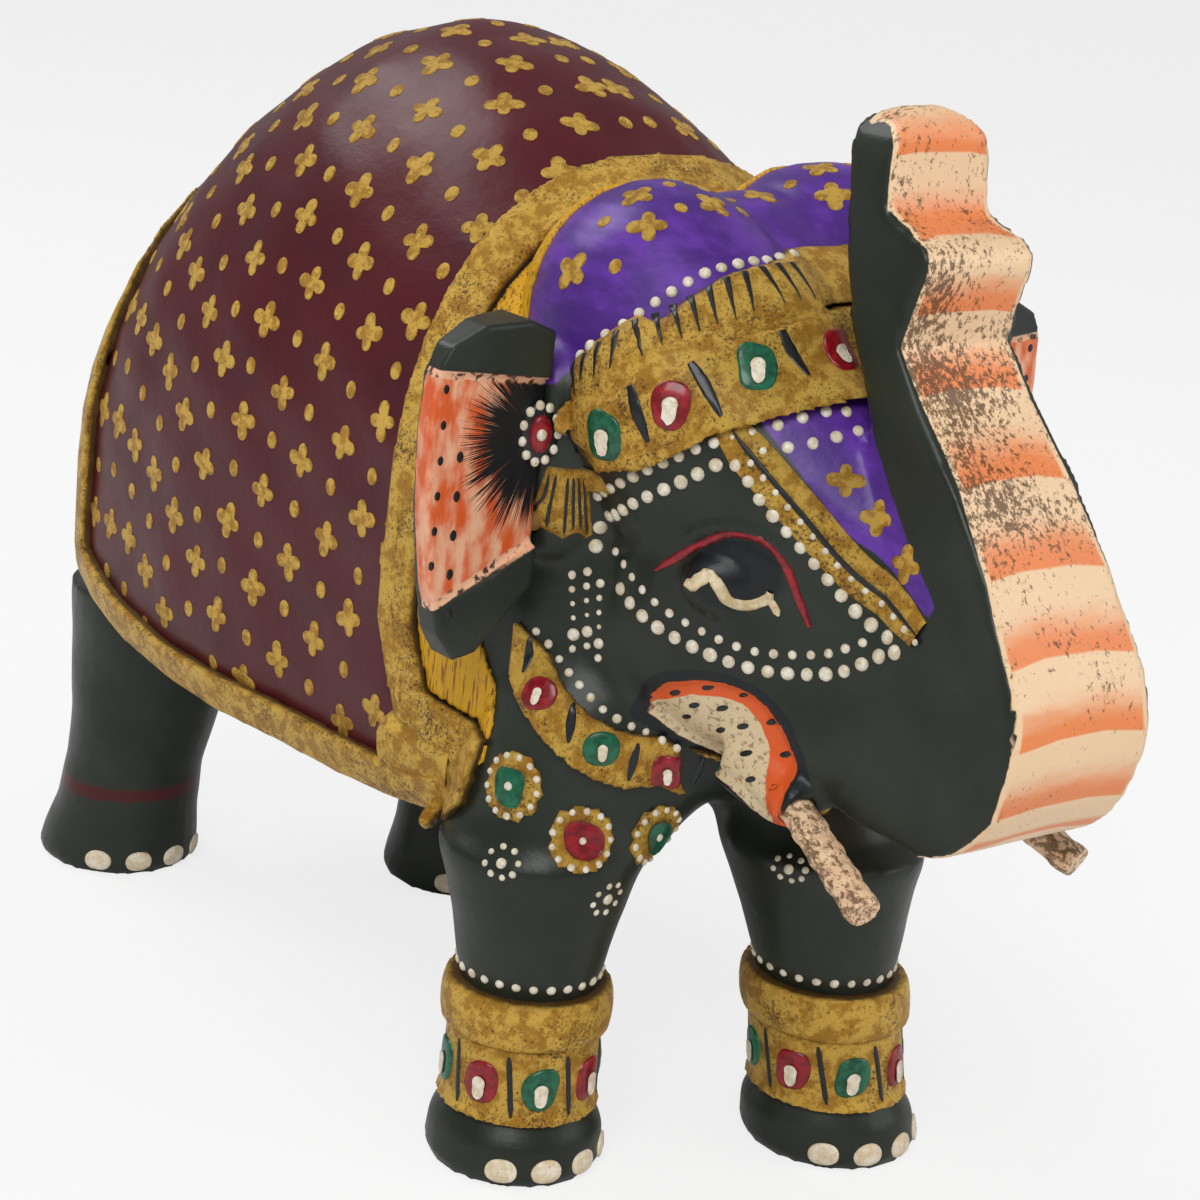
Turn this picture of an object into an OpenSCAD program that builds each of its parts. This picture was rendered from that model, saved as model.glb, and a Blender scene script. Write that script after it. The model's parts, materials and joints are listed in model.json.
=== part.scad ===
// Carved and painted wooden elephant, family size. Faces -Y, feet on z = 0.
// One carved block; ears, tusks and gilded relief are separate pieces glued on.

/* [Overall size] */
// length from the bend of the trunk to the hind foot, mm
length = 181; // [140:1:220]
// width across the two ears, mm
ear_span = 98; // [78:1:120]
// height of the crest of the back, mm
height = 134; // [108:1:165]

/* [Legs] */
// radius of the front feet, mm
front_foot_r = 11.8; // [9:0.1:14]
// radius of the hind feet, mm
hind_foot_r = 11.9; // [9:0.1:14]

/* [Tusks and ears] */
// radius of the round tusk peg, mm
tusk_r = 2.0; // [1.4:0.1:3]
// length of tusk outside its socket, mm
tusk_reach = 16; // [10:0.5:24]
// depth of each drilled tusk socket, mm
socket_depth = 8; // [5:0.5:12]
// thickness of each ear slab, mm
ear_t = 8; // [5:0.5:11]
// radius of the hidden ear dowels, mm
dowel_r = 1.5; // [1:0.1:2.4]
// length of each ear dowel, mm
dowel_len = 10; // [6:0.5:14]

/* [Gilded relief] */
// height of the blanket's gilded border, mm
border_t = 1.6; // [0.8:0.1:2.6]
// height of the bands on head, neck and front feet, mm
band_t = 1.1; // [0.7:0.1:1.8]
// height of the plain rings on the front legs, mm
ring_t = 1.7; // [1:0.1:2.6]
// height of the raised gems above their band, mm
gem_t = 0.7; // [0.4:0.1:1.2]
// height of the raised paint beads, mm
bead_t = 0.9; // [0.6:0.1:1.4]
// radius of a bead, mm
bead_r = 0.9; // [0.6:0.1:1.2]

/* [Clearances] */
// glue line between a glued piece and what it sits on, mm
glue = 0.05; // [0.03:0.01:0.1]
// radial clearance of a peg in its hole, mm
peg_fit = 0.06; // [0.03:0.01:0.12]

/* [Hidden] */
kx = ear_span / 98;
ky = length / 181;
kz = height / 134;
eps = 0.02;

// a point of the carving drawn at its own size, moved with the overall sizes
function at(p) = [p[0] * kx, p[1] * ky, p[2] * kz];

// closed section: rounded arch above zc, rounded belly below it
function section(a, z0, zc, zt, n, nb = 7, steps = 40) =
    [for (i = [0:steps - 1])
        let (t = 360 * i / steps, c = cos(t), s = sin(t),
             m = s >= 0 ? n : nb, b = s >= 0 ? zt - zc : zc - z0)
        [a * sign(c) * pow(abs(c), 2 / m), zc + b * sign(s) * pow(abs(s), 2 / m)]];

// [y, half width, belly z, widest z, crest z, roundness]
stations = [
    [-44, 17, 50, 66, 84, 2.2],
    [-37.6, 24, 47.2, 68, 96, 2.2],
    [-28.3, 30, 44.2, 70, 106, 2.3],
    [-18, 34, 41, 75, 114, 2.35],
    [-8, 35.4, 39, 77, 120.4, 2.35],
    [2, 36, 38, 77, 126.6, 2.25],
    [14, 36.6, 38, 76, 131.4, 2.15],
    [28, 38, 38, 75, 134, 2.1],
    [42, 38, 39, 73, 130.6, 2.1],
    [54, 37.2, 40, 71, 122.8, 2.15],
    [64, 35.8, 42.3, 68, 112.6, 2.2],
    [71, 34, 45, 65, 102, 2.2],
    [77, 28.5, 50, 64, 91, 2.2],
    [81.5, 19, 56, 65, 80, 2.2]
];

// legs: [x and y at the top, shift in x and y toward the sole, foot radius, front or not]
legs = [
    [-25, -29.5, 0, 0, front_foot_r - 0.6, 1],
    [7.8, -44, 7.2, -1, front_foot_r - 0.3, 1],
    [-20, 70, -1.6, 8, hind_foot_r, 0],
    [20, 44, 2, 4, hind_foot_r, 0]
];

// closed skin over a stack of rings that have the same number of points
module loft(rings) {
    n = len(rings[0]);
    m = len(rings);
    polyhedron(
        points = [for (r = rings) each r],
        faces = concat(
            [[for (i = [0:n - 1]) i]],
            [[for (i = [n - 1:-1:0]) (m - 1) * n + i]],
            [for (k = [0:m - 2], i = [0:n - 1])
                [k * n + i, (k + 1) * n + i, (k + 1) * n + (i + 1) % n]],
            [for (k = [0:m - 2], i = [0:n - 1])
                [k * n + i, (k + 1) * n + (i + 1) % n, k * n + (i + 1) % n]]));
}

module torso(g) {
    loft([for (i = [len(stations) - 1:-1:0])
        let (s = stations[i])
        [for (p = section(s[1] + g, s[2] - g, s[3], s[4] + g, s[5])) [p[0], s[0], p[1]]]]);
}

module disc(x, y, z, r) {
    translate([x, y, z]) cylinder(h = eps, r = r, $fn = 28);
}

// leg outline from the flat sole up into the body: [height, radius less than the foot's]
function leg_steps(l) = l[5] == 1
    ? [[0, 0.7], [1.5, 0], [5, 0.3], [7.6, 1.7], [9, 2.5], [24, 2.8], [27, 1.9], [33, 0.7],
       [39, -1], [43, -2.6]]
    : [[0, 0.6], [1.5, 0], [4, 0.3], [9, 1.3], [16, 1.7], [25, 0.9], [34, -0.6],
       [41.3, -1.85], [45, -2.2]];

function leg_x(l, z) = l[0] + l[2] * max(0, 1 - z / 44);
function leg_y(l, z) = l[1] + l[3] * max(0, 1 - z / 44);

module leg(l, g) {
    n = 28;
    loft([for (s = leg_steps(l))
        let (r = l[4] - s[1] + (s[0] == 0 ? 0 : g), x = leg_x(l, s[0]), y = leg_y(l, s[0]))
        [for (i = [0:n - 1])
            [x + r * cos(360 * i / n), y + r * sin(360 * i / n), s[0]]]]);
}

// shoulders and haunches that carry the legs into the body
module shoulder(l, g) {
    side = sign(l[0]);
    steps = leg_steps(l);
    low = steps[len(steps) - 2];
    hull() {
        disc(leg_x(l, low[0]), leg_y(l, low[0]), low[0], l[4] - low[1] + g - 0.5);
        if (l[5] == 1) {
            ball(side * 19.5, -29, 57, 13 + g);
            ball(side * 9.3, -30.6, 57.7, 12 + g);
        } else {
            ball(side * 20, 56, 58, 14 + g);
            ball(side * 12, 58, 60, 16 + g);
        }
    }
}

module ball(x, y, z, r) {
    translate([x, y, z]) sphere(r = r, $fn = 28);
}

module pair(x, y, z, r) {
    for (s = [-1, 1]) ball(s * x, y, z, r);
}

// skull with its two domes, brow, cheeks and jaw
module head(g) {
    for (s = [-1, 1]) hull() {
        ball(s * 13, -26.5, 107 + s, 15.8 + g);
        ball(s * 15.6, -36, 97.5, 14.6 + g);
        ball(s * 10, -37, 102, 14 + g);
    }
    hull() {
        ball(0, -26, 105.4, 15 + g);
        pair(6, -37, 101, 13.4 + g);
    }
    hull() {
        pair(15.6, -36, 97.5, 14.6 + g);
        pair(11, -42, 85, 13.4 + g);
        pair(7, -53, 93, 9 + g);
        pair(4, -62, 84, 8.6 + g);
    }
    hull() {
        pair(11, -42, 85, 13.4 + g);
        pair(12, -38, 70, 12.4 + g);
        pair(9, -50, 65.5, 9.4 + g);
        pair(4, -62, 80, 8.6 + g);
    }
    hull() {
        pair(9, -50, 65.5, 9.4 + g);
        pair(7.4, -61.2, 62.4, 7 + g);
        pair(4, -62, 80, 8.6 + g);
        pair(4, -68, 68, 7 + g);
    }
}

// sawn profile of the raised trunk, in the plane of symmetry
module trunk_profile() {
    tip = [-53, 131];
    belly = [-75.5, 70.5];
    polygon(concat(
        [for (a = [30:15:195]) tip + 4 * [cos(a), sin(a)]],
        [[-57, 127], [-57.4, 123.6]],
        [for (a = [110:20:190]) [-62.2, 118.8] + 2.9 * [cos(a), sin(a)]],
        [[-63.6, 113.6], [-62.6, 109.8], [-67.4, 103.8], [-74.8, 96.4],
         [-81.6, 88]],
        [for (a = [150:12:258]) belly + [14.1 * cos(a), 15.4 * sin(a)]],
        [[-65.4, 56.3], [-58, 58.4], [-51.7, 70], [-54, 88], [-61, 98.5], [-57.6, 106],
         [-54.6, 112], [-52.6, 117], [-51.4, 123], [-50.6, 127]]));
}

// half widths of the trunk: [y, z, half width]
trunk_w = [[-57, 50, 11.6], [-92, 50, 11], [-92, 70, 11.2], [-48, 70, 11.6],
           [-92, 84, 10.4], [-92, 97, 8.9], [-48, 97, 9.4], [-92, 112, 8.4],
           [-70, 129, 8], [-46, 129, 8], [-70, 133, 6.8], [-46, 133, 6.8],
           [-70, 135.2, 4], [-46, 135.2, 4]];

module trunk() {
    intersection() {
        rotate([90, 0, 90]) translate([0, 0, -20])
            linear_extrude(40) trunk_profile();
        hull() {
            for (s = trunk_w)
                translate([-s[2], s[0], s[1]]) cube([2 * s[2], 1, eps]);
        }
    }
}

// thick root of the skull that the ears are seated on
module ear_root(g) {
    hull() {
        for (s = [-1, 1]) {
            ball(s * 28, -28, 98, 6 + g);
            ball(s * 26, -27.2, 82.2, 6 + g);
            ball(s * 16, -28, 88, 10 + g);
        }
    }
}

// tail lying against the rump
module tail() {
    pts = [[84, 76, 2.6], [86.6, 66, 2.3], [87.2, 56, 2.1], [86.6, 47, 2], [86.4, 41, 3],
           [86.4, 34, 1.2]];
    for (i = [0:len(pts) - 2]) hull() {
        for (p = [pts[i], pts[i + 1]])
            translate([0, p[0] - 2.8, p[1]]) scale([1, 0.9, 1.2])
                sphere(r = p[2], $fn = 10);
    }
    hull() {
        translate([0, 78, 76]) sphere(r = 5, $fn = 12);
        translate([0, 81.2, 70]) sphere(r = 2.4, $fn = 10);
        translate([0, 80, 60]) sphere(r = 3, $fn = 10);
    }
    hull() {
        translate([0, 71.7, 62.3]) sphere(r = 12, $fn = 14);
        translate([0, 75.8, 42.2]) sphere(r = 6, $fn = 14);
        translate([0, 80, 34]) sphere(r = 2.4, $fn = 10);
    }
}

// everything that the relief is modelled on
module form(g) {
    torso(g);
    for (l = legs) {
        leg(l, g);
        shoulder(l, g);
    }
    head(g);
    ear_root(g);
}

module eye_lids() {
    for (s = [-1, 1]) translate([s * 19.6, -51.6, 80]) rotate([0, 8, s * 38])
        scale([1.25, 0.5, 0.8]) sphere(r = 4.6, $fn = 18);
}

// axis of the tusk: a point deep in the jaw, and the way it leaves
tusk_from = [-12.6, -52, 59.6];
tusk_dir = [-2.6, -14, -5.6];
lip_at = 11.6;

module along(p, d) {
    n = norm(d);
    translate(p) rotate([0, acos(d[2] / n), atan2(d[1], d[0])]) children();
}

module mirrored() {
    children();
    mirror([1, 0, 0]) children();
}

module tusk_holes(r) {
    mirrored() along(at(tusk_from), tusk_dir) translate([0, 0, lip_at - socket_depth])
        cylinder(h = socket_depth + 6, r = r, $fn = 32);
}

dowel_at = [[-33, -29, 97], [-33, -29, 83]];

module dowel_holes(r, l) {
    for (d = dowel_at) mirrored()
        translate(at(d)) rotate([0, 90, 0]) cylinder(h = l, r = r, center = true, $fn = 32);
}

module body_solid() {
    scale([kx, ky, kz]) {
        form(0);
        trunk();
        tail();
        eye_lids();
        // raised lip round each tusk socket
        mirrored() along(tusk_from, tusk_dir)
            cylinder(h = lip_at, r1 = 6, r2 = 3.2, $fn = 24);
    }
}

module carved_block() color([0.16, 0.19, 0.16]) {
    difference() {
        body_solid();
        ear_cut();
        tusk_holes(tusk_r + peg_fit);
        dowel_holes(dowel_r + peg_fit, dowel_len + 0.6);
    }
}

// flat seat sawn on each side of the skull for the ear
module ear_cut() {
    scale([kx, ky, kz]) mirrored()
        translate([-73, -33, 66]) cube([40.6, 12, 46]);
}

// outline of an ear seen from the front: short root, long outer edge
ear_rim = [[-32.45, 106], [-36, 107.4], [-42, 107], [-46.6, 104.8], [-48.4, 101.6],
           [-48.9, 95], [-48.4, 86], [-47, 77], [-45.4, 71], [-43, 67.8],
           [-40, 68.4], [-32.45, 76]];

module ear_sheet(y, d) {
    translate([0, y, 0]) rotate([90, 0, 0]) linear_extrude(eps)
        offset(delta = d) polygon(ear_rim);
}

// wedge: as thick as ear_t at the root, thin along the outer edge
module ear() {
    difference() {
        scale([kx, 1, kz]) intersection() {
            hull() {
                ear_sheet(-32.4 * ky, -0.5);
                ear_sheet(-31.8 * ky, 0);
                ear_sheet(-32.4 * ky + ear_t - 0.6, 0);
                ear_sheet(-32.4 * ky + ear_t, -0.5);
            }
            translate([-32.43, -32.4 * ky, 50]) linear_extrude(70)
                polygon([[0, 0], [-18, 0.6], [-18, 2.8], [-8, 5.6], [0, ear_t]]);
        }
        // dished front face that carries the painted fan
        scale([kx, ky, kz]) hull() {
            for (p = [[-32, 99.5, 1], [-32, 82, 1], [-50, 101.6, 0], [-50, 72.5, 0]])
                translate([p[0], -34, p[1]]) rotate([-90, 0, 0])
                    cylinder(h = 2.1 + p[2], r = 0.8, $fn = 12);
        }
        dowel_holes(dowel_r + peg_fit, dowel_len + 0.6);
    }
}

module right_ear() color([0.22, 0.26, 0.21]) ear();
module left_ear() color([0.22, 0.26, 0.21]) mirror([1, 0, 0]) ear();

module tusks() color([0.85, 0.7, 0.55]) mirrored() along(at(tusk_from), tusk_dir) {
    translate([0, 0, lip_at - socket_depth + 0.3])
        cylinder(h = socket_depth + tusk_reach - 0.3, r = tusk_r, $fn = 48);
}

module ear_dowels() color([0.7, 0.55, 0.35]) dowel_holes(dowel_r, dowel_len);

// relief modelled on the block: its patch of surface from lo to hi above the form
module relief(lo, hi) {
    difference() {
        intersection() {
            scale([kx, ky, kz]) children();
            scale([kx, ky, kz]) form(hi);
        }
        scale([kx, ky, kz]) form(lo);
        scale([kx, ky, kz]) trunk();
        scale([kx, ky, kz]) eye_lids();
    }
}

// side view of the blanket, from the front hoop to the rear edge
module blanket_side(inset) {
    offset(delta = -inset) polygon([[-13, 160], [-13.4, 100], [-13, 66], [-16, 58], [-27, 55],
        [-25.5, 46.5], [-20, 41.5], [0, 41], [40, 41], [58, 43.6], [73.5, 48.5],
        [73.5, 76], [66, 160]]);
}

module blanket_border() color([0.72, 0.56, 0.25]) relief(glue, border_t) {
    difference() {
        rotate([90, 0, 90]) translate([0, 0, -60]) linear_extrude(120) blanket_side(0);
        rotate([90, 0, 90]) translate([0, 0, -70]) linear_extrude(140) blanket_side(5.6);
        // legs stay clear below the hem
        translate([-60, -60, -1]) cube([120, 200, 40]);
    }
}

module fringe_panels() color([0.78, 0.58, 0.15]) relief(glue, 0.5)
    rotate([90, 0, 90]) translate([0, 0, -60]) linear_extrude(120) difference() {
        polygon([[-10, 122], [-20, 122], [-19, 100], [-20, 72], [-27.4, 57], [-27.4, 52],
                 [-10, 52]]);
        offset(delta = 2 * glue) blanket_side(0);
    }

// strip of brow between two curves that droop toward the ears, seen from the front
module brow_band(low, low_drop, high, high_drop) {
    function droop(z, d, x) = [x, z - d * pow(abs(x) / 34, 2.5)];
    difference() {
        translate([0, -24, 0]) rotate([90, 0, 0]) linear_extrude(40)
            polygon(concat([for (x = [-38:4:38]) droop(low, low_drop, x)],
                           [for (x = [38:-4:-38]) droop(high, high_drop, x)]));
        translate([-50, -33.4, 60]) cube([100, 40, 70]);
        mirrored() rosette_place() translate([0, 0, -3]) cylinder(h = 8, r = 3.4, $fn = 20);
    }
}

module jewel_band() color([0.75, 0.6, 0.28]) relief(glue, band_t + 0.5)
    brow_band(103, 12, 110.9, 11.5);

module fringe_band() color([0.75, 0.6, 0.28]) relief(glue, band_t)
    brow_band(111, 11.5, 115.6, 13.2);

module forehead_strips() color([0.75, 0.6, 0.28]) relief(glue, 0.6)
    mirrored() hull() {
        translate([-20.6, -90, 96.6]) rotate([-90, 0, 0]) cylinder(h = 60, r = 2.2, $fn = 12);
        translate([-12.2, -90, 81.4]) rotate([-90, 0, 0]) cylinder(h = 60, r = 1.8, $fn = 12);
    }

// crescent of gilded collar under the jaw
// side view of the collar: a sloping strip from under the jaw up to the ears
module collar_shape(grow) {
    rotate([90, 0, 90]) translate([0, 0, -50]) linear_extrude(100) offset(delta = grow)
        polygon([[-27.5, 63.9], [-27.5, 69.9], [-49.5, 53.4], [-49.5, 47.4]]);
}

module collar_band() color([0.72, 0.56, 0.25]) relief(glue, band_t) collar_shape(0);

module leg_rings() color([0.72, 0.56, 0.25]) scale([kx, ky, kz]) {
    for (l = [legs[0], legs[1]]) difference() {
        intersection() {
            leg(l, ring_t);
            translate([-60, -80, 18]) cube([120, 80, 6]);
        }
        leg(l, glue);
    }
}

module leg_cuffs() color([0.72, 0.56, 0.25]) scale([kx, ky, kz]) {
    for (l = [legs[0], legs[1]]) difference() {
        intersection() {
            leg(l, band_t);
            translate([-60, -80, 8]) cube([120, 80, 9.8]);
        }
        leg(l, glue);
    }
}

module rosette_place() {
    translate([-33.2, -33, 94]) rotate([90, 0, -12]) children();
}

module ear_rosettes() color([0.3, 0.1, 0.08]) scale([kx, ky, kz]) mirrored() {
    hull() {
        rosette_place() cylinder(h = 1, r = 3.3, $fn = 20);
        rosette_place() cylinder(h = 1.7, r = 2.3, $fn = 20);
    }
}

// ragged gilt rosettes hanging under the collar, seen from the front: [x, z]
rosettes = [[-33, 51.3], [-27.8, 47.3], [-17.4, 46], [33, 52], [25.6, 47.2], [15, 47.4]];

module shoulder_rosettes() color([0.72, 0.56, 0.25]) relief(glue, 0.7)
    difference() {
        for (p = rosettes) translate([p[0], -90, p[1]]) rotate([-90, 0, 0])
            cylinder(h = 60, r = 4, $fn = 14);
        collar_shape(3 * glue);
    }

// gems on the brow and collar bands, seen from the front: [x, z, radius]
module front_gems(list) {
    for (p = list) mirrored() translate([p[0], -90, p[1]])
        rotate([-90, 0, 0]) cylinder(h = 62, r = p[2], $fn = 8);
}

module cuff_gems(first) {
    for (i = [0, 1], k = [0:3]) {
        l = legs[i];
        translate([leg_x(l, 13), leg_y(l, 13), 13]) rotate([0, 0, 22.5 + 45 * (2 * k + first)])
            rotate([90, 0, 0]) cylinder(h = front_foot_r + 2, r = 2.2, $fn = 8);
    }
}

module gem_layer(first, brow, neck) {
    relief(band_t + 0.5 + glue, band_t + 0.5 + gem_t) front_gems(brow);
    relief(band_t + glue, band_t + gem_t) front_gems(neck);
    scale([kx, ky, kz]) difference() {
        intersection() {
            cuff_gems(first);
            for (i = [0, 1]) leg(legs[i], band_t + gem_t);
        }
        for (i = [0, 1]) leg(legs[i], band_t + glue);
    }
}

module red_gems() color([0.6, 0.08, 0.08])
    gem_layer(0, [[-25.6, 100.4, 2.3], [-6.9, 106, 2.1]], [[-30.2, 61.6, 2.1], [-18, 55.2, 2]]);

module green_gems() color([0.05, 0.35, 0.22])
    gem_layer(1, [[-29, 96.6, 2.1], [-17.6, 104.3, 2.3]], [[-25.8, 58.2, 2]]);

// two rows of raised beads under the eye, and one above
module bead(x, z) {
    translate([x, -90, z]) rotate([-90, 0, 0]) cylinder(h = 62, r = bead_r, $fn = 6);
}

module face_beads() color([0.9, 0.86, 0.75]) relief(glue, bead_t) mirrored() {
    for (i = [0:6]) bead(-25.4 + i * 1.6, 82 - 11 * sin(i * 20));
    for (i = [0:3]) bead(-27.6 + i * 2.1, 88 + i * 1.5);
}

module leg_beads() color([0.9, 0.86, 0.75]) relief(glue, bead_t)
    for (i = [0, 1], k = [0:13]) {
        l = legs[i];
        translate([leg_x(l, 27.7), leg_y(l, 27.7), 27.7]) rotate([0, 0, 2 + k * 360 / 14])
            rotate([90, 0, 0]) cylinder(h = front_foot_r + 2, r = bead_r, $fn = 6);
    }

carved_block();
right_ear();
left_ear();
tusks();
ear_dowels();
blanket_border();
fringe_panels();
jewel_band();
fringe_band();
forehead_strips();
collar_band();
leg_rings();
leg_cuffs();
ear_rosettes();
shoulder_rosettes();
red_gems();
green_gems();
face_beads();
leg_beads();
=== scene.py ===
# Carved and painted wooden elephant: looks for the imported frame.
# The drawing is in millimetres with the elephant facing -Y; blocks of the frame are moulded into
# smooth carved wood, and the raised paint, beads and gilding are laid on that surface in code.
import json
import math
import random

import bmesh
import bpy
import numpy as np
from mathutils import Matrix, Vector
from mathutils.bvhtree import BVHTree
from mathutils.geometry import delaunay_2d_cdt

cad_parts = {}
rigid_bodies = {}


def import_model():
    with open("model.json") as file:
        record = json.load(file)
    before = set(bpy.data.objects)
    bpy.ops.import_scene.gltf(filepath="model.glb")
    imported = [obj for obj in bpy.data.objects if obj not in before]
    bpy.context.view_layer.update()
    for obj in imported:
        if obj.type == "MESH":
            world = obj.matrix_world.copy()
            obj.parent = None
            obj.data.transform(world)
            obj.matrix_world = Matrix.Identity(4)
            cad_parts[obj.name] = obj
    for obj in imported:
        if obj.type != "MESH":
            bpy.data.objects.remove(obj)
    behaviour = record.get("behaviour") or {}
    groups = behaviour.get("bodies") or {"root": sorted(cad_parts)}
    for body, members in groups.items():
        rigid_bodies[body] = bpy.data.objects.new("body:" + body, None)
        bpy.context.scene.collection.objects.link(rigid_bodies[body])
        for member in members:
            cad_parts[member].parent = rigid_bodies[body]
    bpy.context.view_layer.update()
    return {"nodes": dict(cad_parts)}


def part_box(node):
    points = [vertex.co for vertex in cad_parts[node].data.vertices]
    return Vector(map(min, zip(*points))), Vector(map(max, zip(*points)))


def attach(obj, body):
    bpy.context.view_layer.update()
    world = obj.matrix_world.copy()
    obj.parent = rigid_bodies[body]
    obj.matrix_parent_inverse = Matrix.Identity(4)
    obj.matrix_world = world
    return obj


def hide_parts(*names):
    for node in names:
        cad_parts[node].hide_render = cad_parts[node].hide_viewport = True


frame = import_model()
MM = 0.001
rng = random.Random(11)


def box_mm(node):
    low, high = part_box(node)
    return np.array(low) / MM, np.array(high) / MM


# the drawing's y = 0 lies this far from the frame's: its ear dowels stand at y = -29
DOWEL_Y = -29.0
SHIFT = float(sum(b[1] for b in box_mm("ear_dowels")) / 2 - DOWEL_Y)

# ---------------------------------------------------------------- mesh helpers


def to_mesh_object(name, verts, faces, material, smooth=True, attrs=None):
    """verts in drawing millimetres; makes the piece, its material slot and its ride"""
    co = np.asarray(verts, float).reshape(-1, 3).copy()
    co[:, 1] += SHIFT
    mesh = bpy.data.meshes.new(name)
    mesh.from_pydata((co * MM).tolist(), [], [tuple(f) for f in faces])
    mesh.update()
    mesh.materials.append(material)
    if smooth:
        mesh.polygons.foreach_set("use_smooth", [True] * len(mesh.polygons))
    for key, values in (attrs or {}).items():
        layer = mesh.attributes.new(key, "FLOAT", "POINT")
        layer.data.foreach_set("value", np.asarray(values, np.float32))
    piece = bpy.data.objects.new(name, mesh)
    bpy.context.scene.collection.objects.link(piece)
    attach(piece, "root")
    return piece


def node_objects(names):
    return [bpy.data.objects[frame["nodes"][n]] if isinstance(frame["nodes"], dict)
            and isinstance(frame["nodes"][n], str) else bpy.data.objects[n] for n in names]


def moulded(names, voxel):
    """vertices and faces, in drawing mm, of the named CAD nodes remeshed on an even grid"""
    bm = bmesh.new()
    for obj in node_objects(names):
        part = bmesh.new()
        part.from_mesh(obj.data)
        bmesh.ops.remove_doubles(part, verts=part.verts, dist=1e-7)
        copy = bpy.data.meshes.new("part")
        part.to_mesh(copy)
        part.free()
        bm.from_mesh(copy)
        bpy.data.meshes.remove(copy)
    mesh = bpy.data.meshes.new("lump")
    bm.to_mesh(mesh)
    bm.free()
    lump = bpy.data.objects.new("lump", mesh)
    bpy.context.scene.collection.objects.link(lump)
    mod = lump.modifiers.new("even", "REMESH")
    mod.mode = "VOXEL"
    mod.voxel_size = voxel * MM
    done = lump.evaluated_get(bpy.context.evaluated_depsgraph_get()).to_mesh()
    co = np.empty(len(done.vertices) * 3, np.float32)
    done.vertices.foreach_get("co", co)
    faces = [tuple(p.vertices) for p in done.polygons]
    edges = np.empty(len(done.edges) * 2, np.int64)
    done.edges.foreach_get("vertices", edges)
    bpy.data.objects.remove(lump)
    co = co.reshape(-1, 3).astype(float) / MM
    co[:, 1] -= SHIFT
    return co, faces, edges.reshape(-1, 2)


def relax(co, edges, rounds, weight=1.0, back=-0.53):
    """even out a surface; the step back keeps it from shrinking"""
    count = np.bincount(edges.ravel(), minlength=len(co)).clip(1)[:, None]
    weight = np.broadcast_to(np.asarray(weight, float), (len(co),))[:, None]
    for _ in range(rounds):
        for step in (0.5, back) if back else (0.5,):
            total = np.stack([
                np.bincount(edges[:, 0], co[edges[:, 1], k], len(co))
                + np.bincount(edges[:, 1], co[edges[:, 0], k], len(co)) for k in range(3)], 1)
            co = co + weight * step * (total / count - co)
    return co


def normals(co, faces):
    quad = np.array([f if len(f) == 4 else (f[0], f[1], f[2], f[2]) for f in faces])
    cross = np.cross(co[quad[:, 2]] - co[quad[:, 0]], co[quad[:, 3]] - co[quad[:, 1]])
    out = np.zeros_like(co)
    for k in range(4):
        for axis in range(3):
            out[:, axis] += np.bincount(quad[:, k], cross[:, axis], len(co))
    return out / np.linalg.norm(out, axis=1, keepdims=True).clip(1e-9)


def inside_poly(p, q, outline):
    """signed distance to a closed outline, above 0 inside"""
    pts = np.asarray(outline, float)
    best = np.full(len(p), 1e9)
    odd = np.zeros(len(p), bool)
    for a, b in zip(pts, np.roll(pts, -1, 0)):
        ab = b - a
        t = np.clip(((p - a[0]) * ab[0] + (q - a[1]) * ab[1]) / max(ab @ ab, 1e-12), 0, 1)
        best = np.minimum(best, np.hypot(p - a[0] - t * ab[0], q - a[1] - t * ab[1]))
        crosses = (a[1] > q) != (b[1] > q)
        at = a[0] + (q - a[1]) * ab[0] / (ab[1] if abs(ab[1]) > 1e-9 else 1e-9)
        odd ^= crosses & (p < at)
    return np.where(odd, best, -best)


def line_distance(p, q, pts):
    best = np.full(len(p), 1e9)
    pts = np.asarray(pts, float)
    for a, b in zip(pts[:-1], pts[1:]):
        ab = b - a
        t = np.clip(((p - a[0]) * ab[0] + (q - a[1]) * ab[1]) / (ab @ ab), 0, 1)
        best = np.minimum(best, np.hypot(p - a[0] - t * ab[0], q - a[1] - t * ab[1]))
    return best


def smoothstep(x, low, high):
    t = np.clip((x - low) / (high - low), 0, 1)
    return t * t * (3 - 2 * t)

# ---------------------------------------------------------------- node materials


def srgb(code):
    """a painter's hex colour as the linear colour that a shader takes"""
    values = [int(code[k:k + 2], 16) / 255 for k in (0, 2, 4)]
    return tuple(v / 12.92 if v <= 0.04045 else ((v + 0.055) / 1.055) ** 2.4
                 for v in values) + (1.0,)


GREEN = srgb("1F251D")
GREEN_PALE = srgb("2A3027")
MAROON = srgb("52101A")
MAROON_DARK = srgb("3C0E17")
PURPLE = srgb("4B2580")
PURPLE_PALE = srgb("6535A2")
CREAM = srgb("F2CFA6")
PEACH = srgb("EFB894")
ORANGE = srgb("DD5C24")
UMBER = srgb("5E3D1C")
GOLD = srgb("B98831")
GOLD_PALE = srgb("E2B854")
TRUNK_ORANGE = srgb("EE8A50")
PATINA = srgb("4A2F10")
OCHRE = srgb("DFA714")
RED = srgb("9C1420")
EMERALD = srgb("0E6A48")
BLACK = srgb("14171A")
WHITE = srgb("EFE9DC")


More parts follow.
